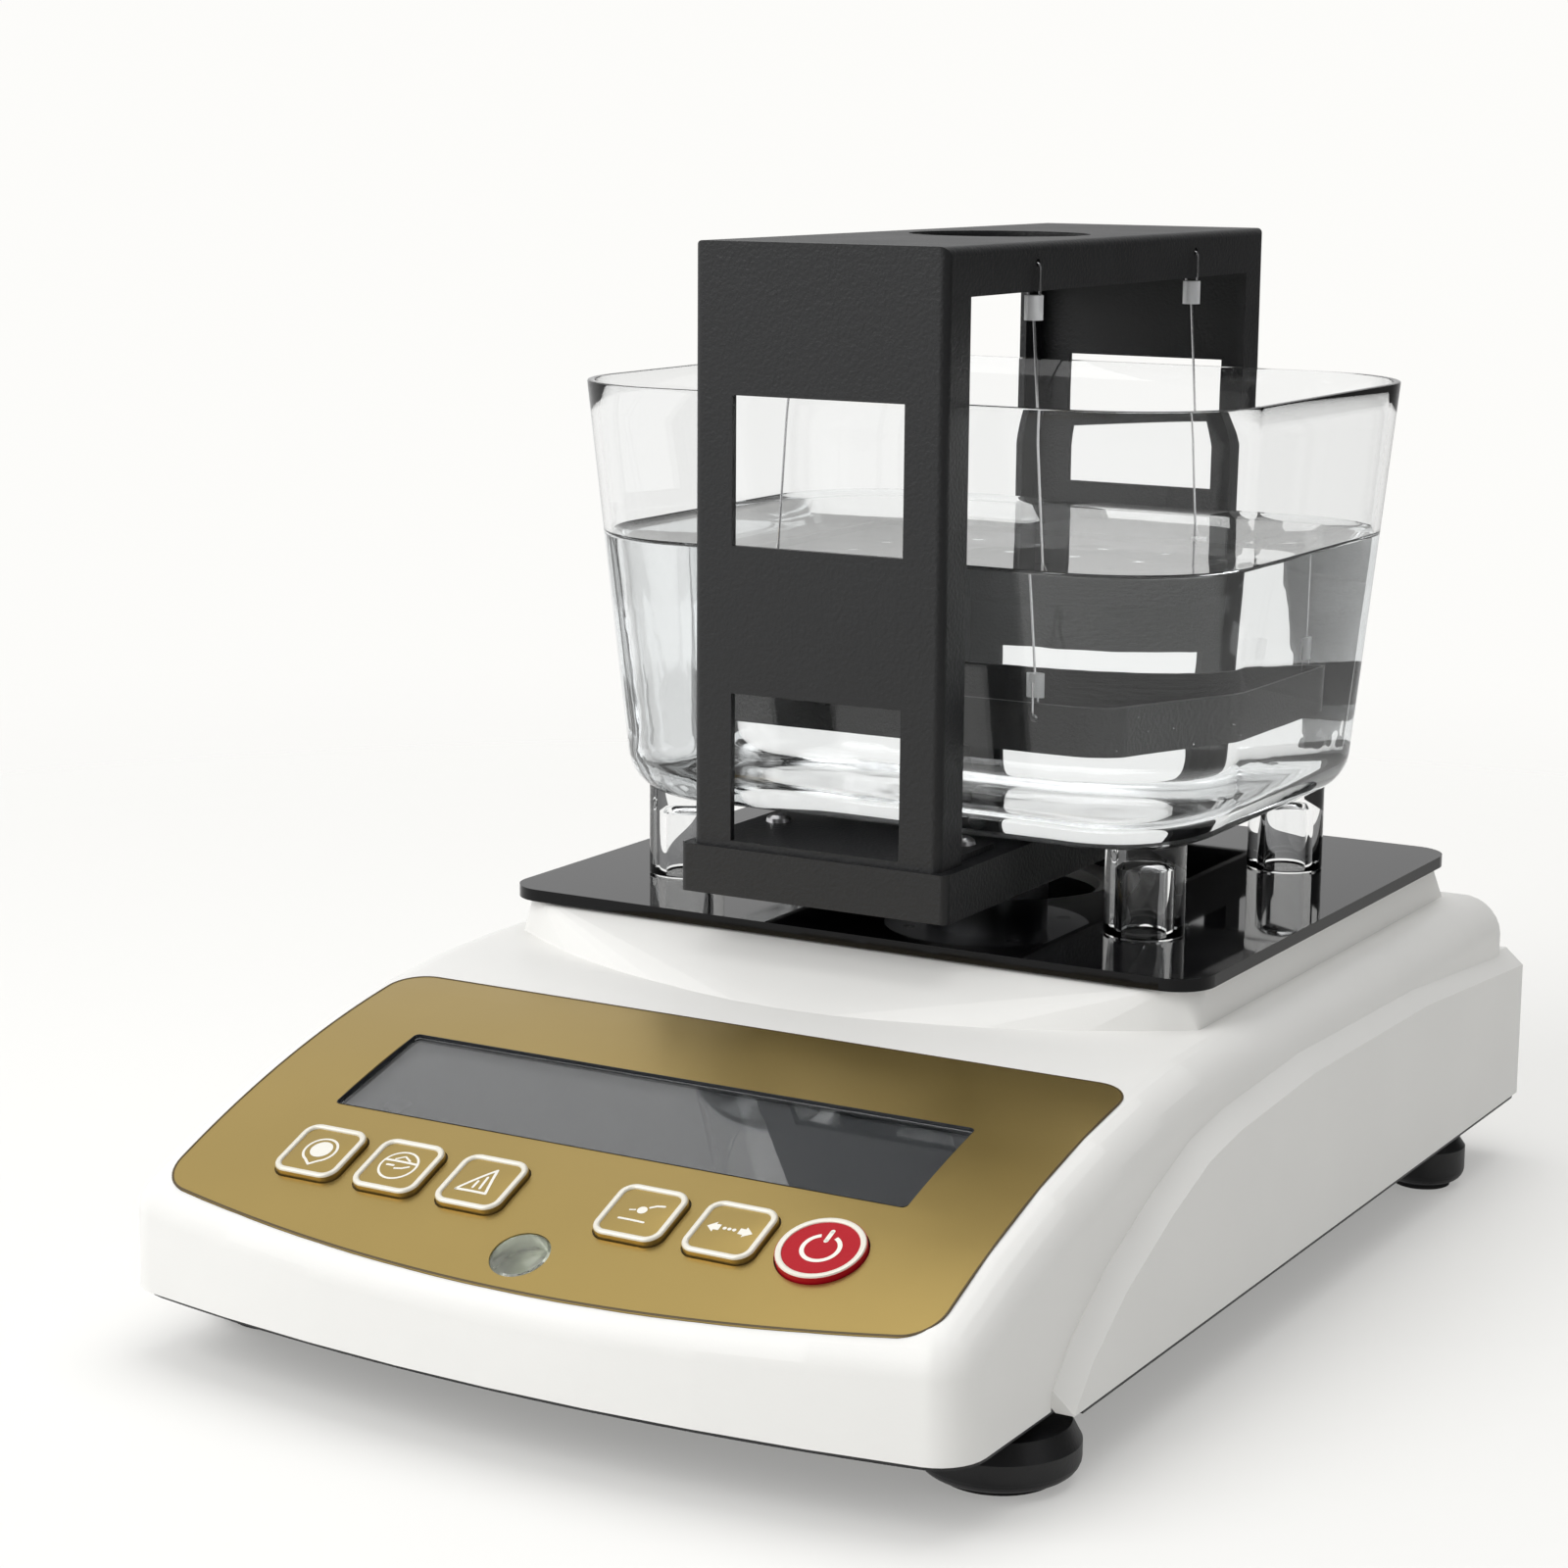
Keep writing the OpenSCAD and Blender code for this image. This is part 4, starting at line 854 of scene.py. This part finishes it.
class NodeTree:
    """A small geometry-node tree with named inputs."""

    def __init__(self, name: str, inputs: dict[str, str]) -> None:
        """Starts the tree.

        Args:
            name: Name of the tree.
            inputs: Socket type of each named input.
        """
        self.tree = bpy.data.node_groups.new(name, "GeometryNodeTree")
        face = self.tree.interface
        face.new_socket("Geometry", in_out="INPUT", socket_type="NodeSocketGeometry")
        self.ids = {n: face.new_socket(n, in_out="INPUT", socket_type=t).identifier
                    for n, t in inputs.items()}
        face.new_socket("Geometry", in_out="OUTPUT", socket_type="NodeSocketGeometry")
        self.source = self.tree.nodes.new("NodeGroupInput")
        self.sink = self.tree.nodes.new("NodeGroupOutput")

    def node(self, kind: str, **links: bpy.types.NodeSocket) -> bpy.types.Node:
        """Adds a node and links sockets to its inputs, with _ for a space in their names."""
        node = self.tree.nodes.new(kind)
        for socket, origin in links.items():
            self.tree.links.new(origin, node.inputs[socket.replace("_", " ")])
        return node

    def given(self, name: str) -> bpy.types.NodeSocket:
        """The socket of a named input."""
        return self.source.outputs[name]

    def finish(self, geometry: bpy.types.NodeSocket) -> None:
        """Realizes the instances, sets the material and ends the tree."""
        real = self.node("GeometryNodeRealizeInstances", Geometry=geometry)
        painted = self.node("GeometryNodeSetMaterial", Geometry=real.outputs[0],
                            Material=self.given("Material"))
        self.tree.links.new(painted.outputs[0], self.sink.inputs[0])

    def bake(self, name: str, host: bmesh.types.BMesh, body: str, **values: object) -> bpy.types.Object:
        """Runs the tree on a host mesh and keeps the result as a plain piece.

        Args:
            name: Name of the piece.
            host: Mesh that the tree works on. It is freed.
            body: The body that the piece rides on.
            values: The named inputs.

        Returns:
            The piece.
        """
        base = bpy.data.meshes.new(f"{name}_host")
        host.to_mesh(base)
        host.free()
        carrier = bpy.data.objects.new(f"{name}_host", base)
        bpy.context.scene.collection.objects.link(carrier)
        modifier = carrier.modifiers.new("nodes", "NODES")
        modifier.node_group = self.tree
        for key, value in values.items():
            modifier[self.ids[key]] = value
        deps = bpy.context.evaluated_depsgraph_get()
        mesh = bpy.data.meshes.new_from_object(carrier.evaluated_get(deps))
        carrier.modifiers.remove(modifier)
        bpy.data.objects.remove(carrier)
        obj = bpy.data.objects.new(name, mesh)
        bpy.context.scene.collection.objects.link(obj)
        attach(obj, body)
        log.info("%s rides on %s, %d faces", name, body, len(mesh.polygons))
        return obj


def pin_rows() -> None:
    """Fills the data port with its five and four contact pins."""
    kinds = {"Count": "NodeSocketInt", "Pitch": "NodeSocketVector", "Radius": "NodeSocketFloat",
             "Length": "NodeSocketFloat", "Material": "NodeSocketMaterial"}
    tree = NodeTree("pin_row", kinds)
    line = tree.node("GeometryNodeMeshLine", Count=tree.given("Count"), Offset=tree.given("Pitch"))
    pin = tree.node("GeometryNodeMeshCylinder", Radius=tree.given("Radius"), Depth=tree.given("Length"))
    pin.inputs["Vertices"].default_value = 16
    turned = tree.node("GeometryNodeTransform", Geometry=pin.outputs["Mesh"])
    turned.inputs["Rotation"].default_value = (math.pi / 2, 0, 0)
    rows = tree.node("GeometryNodeInstanceOnPoints", Points=line.outputs["Mesh"], Instance=turned.outputs[0])
    tree.finish(rows.outputs["Instances"])
    pitch = 2.77 * MM
    port_x, port_y = -22 * MM, 130.6 * MM
    for name, count, z in (("upper", 5, 31.3), ("lower", 4, 28.4)):
        row = tree.bake(f"port_pins_{name}", bmesh.new(), "root", Count=count, Pitch=(pitch, 0.0, 0.0),
                        Radius=0.45 * MM, Length=5.5 * MM, Material=Paint.of(BRASS))
        row.data.transform(Matrix.Translation((port_x - pitch * (count - 1) / 2, port_y, z * MM)))


def bubbles() -> None:
    """Scatters small air bubbles on the submerged tray's sides."""
    kinds = {"Density": "NodeSocketFloat", "Seed": "NodeSocketInt", "Size": "NodeSocketFloat",
             "Material": "NodeSocketMaterial"}
    tree = NodeTree("bubbles", kinds)
    spread = tree.node("GeometryNodeDistributePointsOnFaces", Mesh=tree.source.outputs["Geometry"],
                       Density=tree.given("Density"), Seed=tree.given("Seed"))
    ball = tree.node("GeometryNodeMeshIcoSphere", Radius=tree.given("Size"))
    ball.inputs["Subdivisions"].default_value = 2
    vary = tree.node("FunctionNodeRandomValue", Seed=tree.given("Seed"))
    low, high = (next(s for s in vary.inputs if s.name == n and s.type == "VALUE") for n in ("Min", "Max"))
    low.default_value, high.default_value = 0.35, 1.0
    grown = tree.node("GeometryNodeInstanceOnPoints", Points=spread.outputs["Points"],
                      Instance=ball.outputs["Mesh"],
                      Scale=next(s for s in vary.outputs if s.type == "VALUE"))
    tree.finish(grown.outputs["Instances"])
    low_corner, high_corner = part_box("weighing_tray")
    half = (high_corner - low_corner) / 2
    mid = (high_corner + low_corner) / 2
    rings = [[(x, y + mid.y, z) for x, y in rounded_ring(half.x + 0.05 * MM, half.y + 0.05 * MM, 6 * MM, 4)]
             for z in (low_corner.z + 0.5 * MM, high_corner.z - 0.5 * MM)]
    tree.bake("tray_bubbles", loft(rings, False, False), "tray", Density=34000.0, Seed=7, Size=0.22 * MM,
              Material=Paint.of(BUBBLE))


# ------------------------------------------------------------------ tank and water


@dataclass
class Tank:
    """The moulded tank on its four tube feet, and the water in it."""

    wall: float = 1.6 * MM
    rim_corner: float = 29 * MM
    foot_corner: float = 27 * MM
    fillet: float = 10 * MM
    foot_in: tuple[float, float] = (5.7 * MM, 8 * MM)
    floor_z: float = 87.5 * MM
    tube_at: tuple[float, float] = (53 * MM, 36.5 * MM)
    tube_radius: float = 8 * MM
    bore_radius: float = 4.5 * MM
    water_z: float = 142.1 * MM
    meniscus: float = 1.1 * MM
    into_wall: float = 0.3 * MM
    lip: float = 0.35 * MM
    wall_steps: int = 12
    tube_steps: int = 48
    tube_round: float = 0.4 * MM
    tube_gap: float = 0.03 * MM
    bore_roof: float = 3 * MM
    half: tuple[float, float] = field(init=False)
    centre_y: float = field(init=False)
    rim_z: float = field(init=False)
    base_z: float = field(init=False)

    def __post_init__(self) -> None:
        """Takes the outer sizes from the CAD tank."""
        low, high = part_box("water_tank")
        self.half = ((high.x - low.x) / 2, (high.y - low.y) / 2)
        self.centre_y = (low.y + high.y) / 2
        self.rim_z = high.z
        self.base_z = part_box("tank_feet")[0].z

    def _ring(self, z: float, inset: float, shrink: float = 0.0) -> list[Point]:
        """One ring of the wall.

        Args:
            z: Height.
            inset: How far the ring lies inside the outer face.
            shrink: Extra inset in the fillet.

        Returns:
            The ring's points.
        """
        start = self.floor_z + self.fillet
        t = max(0.0, min(1.0, (z - start) / (self.rim_z - start)))
        hx = self.half[0] - self.foot_in[0] * (1 - t) - inset - shrink
        hy = self.half[1] - self.foot_in[1] * (1 - t) - inset - shrink
        r = self.foot_corner + (self.rim_corner - self.foot_corner) * t - inset - shrink
        return [(x, y + self.centre_y, z) for x, y in rounded_ring(hx, hy, max(r, 1 * MM), 16)]

    def _shell(self, inset: float, top: float, steps: int = 10) -> list[list[Point]]:
        """Rings from the middle of the floor up to the height top, inset from the outer face."""
        radius = self.fillet - inset
        centre = self.floor_z + self.fillet
        rings = [self._ring(self.floor_z + inset, inset, radius + d * MM) for d in (30, 12)]
        for step in range(steps + 1):
            a = math.radians(90 * step / steps)
            rings.append(self._ring(centre - radius * math.cos(a), inset, radius * (1 - math.sin(a))))
        count = self.wall_steps
        rings += [self._ring(centre + (top - centre) * i / count, inset) for i in range(1, count + 1)]
        return rings

    def shell(self) -> None:
        """Makes the tank's wall, with a rounded rim."""
        lip = self.lip
        outer = self._shell(0.0, self.rim_z - lip)
        inner = self._shell(self.wall, self.rim_z - lip)
        rim = [self._ring(self.rim_z - lip * 0.3, lip * 0.3), self._ring(self.rim_z, lip)]
        rim.append(self._ring(self.rim_z, self.wall - lip))
        rim.append(self._ring(self.rim_z - lip * 0.3, self.wall - lip * 0.3))
        bm = loft(outer + rim + list(reversed(inner)))
        tank = piece("tank_shell", bm, ACRYLIC, "tank")
        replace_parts(tank, "water_tank")

    def _under(self, x: float, y: float) -> float:
        """Height of the tank's underside over a point."""
        flat = [self.half[i] - self.foot_in[i] - self.foot_corner for i in (0, 1)]
        out = math.hypot(max(0.0, abs(x) - flat[0]), max(0.0, abs(y) - flat[1]))
        past = max(0.0, out - (self.foot_corner - self.fillet))
        return self.floor_z + self.fillet - math.sqrt(max(0.0, self.fillet ** 2 - past ** 2))

    def tubes(self) -> None:
        """Makes the four tube feet, blind bored from below."""
        steps = self.tube_steps
        for name, (sx, sy) in zip(CORNERS, ((-1, -1), (1, -1), (-1, 1), (1, 1))):
            cx, cy = sx * self.tube_at[0], sy * self.tube_at[1]

            def circle(r: float, z: float | None) -> list[Point]:
                """A ring about the tube's axis; without a height it follows the tank's underside."""
                ring = []
                for i in range(steps):
                    x, y = cx + r * math.cos(math.tau * i / steps), cy + r * math.sin(math.tau * i / steps)
                    top = self._under(x, y) - self.tube_gap if z is None else z
                    ring.append((x, y + self.centre_y, top))
                return ring

            r, b, z = self.tube_radius, self.bore_radius, self.base_z
            rings = [circle(b, z), circle(r - self.tube_round, z), circle(r, z + self.tube_round)]
            rings.append(circle(r, self.floor_z - 1 * MM))
            rings += [circle(k * r, None) for k in (1.0, 0.75, 0.5, 0.25, 0.05)]
            body = loft(rings, close_start=False)
            roof = self.floor_z - self.bore_roof
            bore = [circle(b, z), circle(b, roof - 1.5 * MM)]
            bore += [circle(b - 1 * MM, roof - 0.4 * MM), circle(b - 2.5 * MM, roof)]
            hole = loft(bore, close_start=False)
            scrap = bpy.data.meshes.new("scrap")
            hole.to_mesh(scrap)
            hole.free()
            body.from_mesh(scrap)
            bpy.data.meshes.remove(scrap)
            bmesh.ops.remove_doubles(body, verts=body.verts, dist=WELD)
            bmesh.ops.recalc_face_normals(body, faces=body.faces)
            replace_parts(piece(f"tank_foot_{name}", body, ACRYLIC, "tank"), "tank_feet")

    def water(self) -> None:
        """Fills the tank up to the water line, with a meniscus along the wall."""
        inset = self.wall - self.into_wall
        rings = self._shell(inset, self.water_z + self.meniscus)
        for d, rise in ((0.5, 0.75), (1.2, 0.4), (2.4, 0.14), (4.5, 0.0)):
            rings.append(self._ring(self.water_z + self.meniscus * rise, inset + d * MM))
        water = piece("tank_water", loft(rings), WATER, "tank")
        log.info("water line at %.1f mm on %s", self.water_z / MM, water.name)

    def build(self) -> None:
        """Makes the tank, its feet and the water."""
        self.shell()
        self.tubes()
        self.water()


def main() -> None:
    """Builds the studio and dresses the object."""
    logging.basicConfig(level=logging.INFO, format="%(message)s")
    Studio().build()
    dress_cad()
    skins()
    FrontPanel().build()
    Tank().build()
    pin_rows()
    bubbles()


if __name__ == "__main__":
    main()
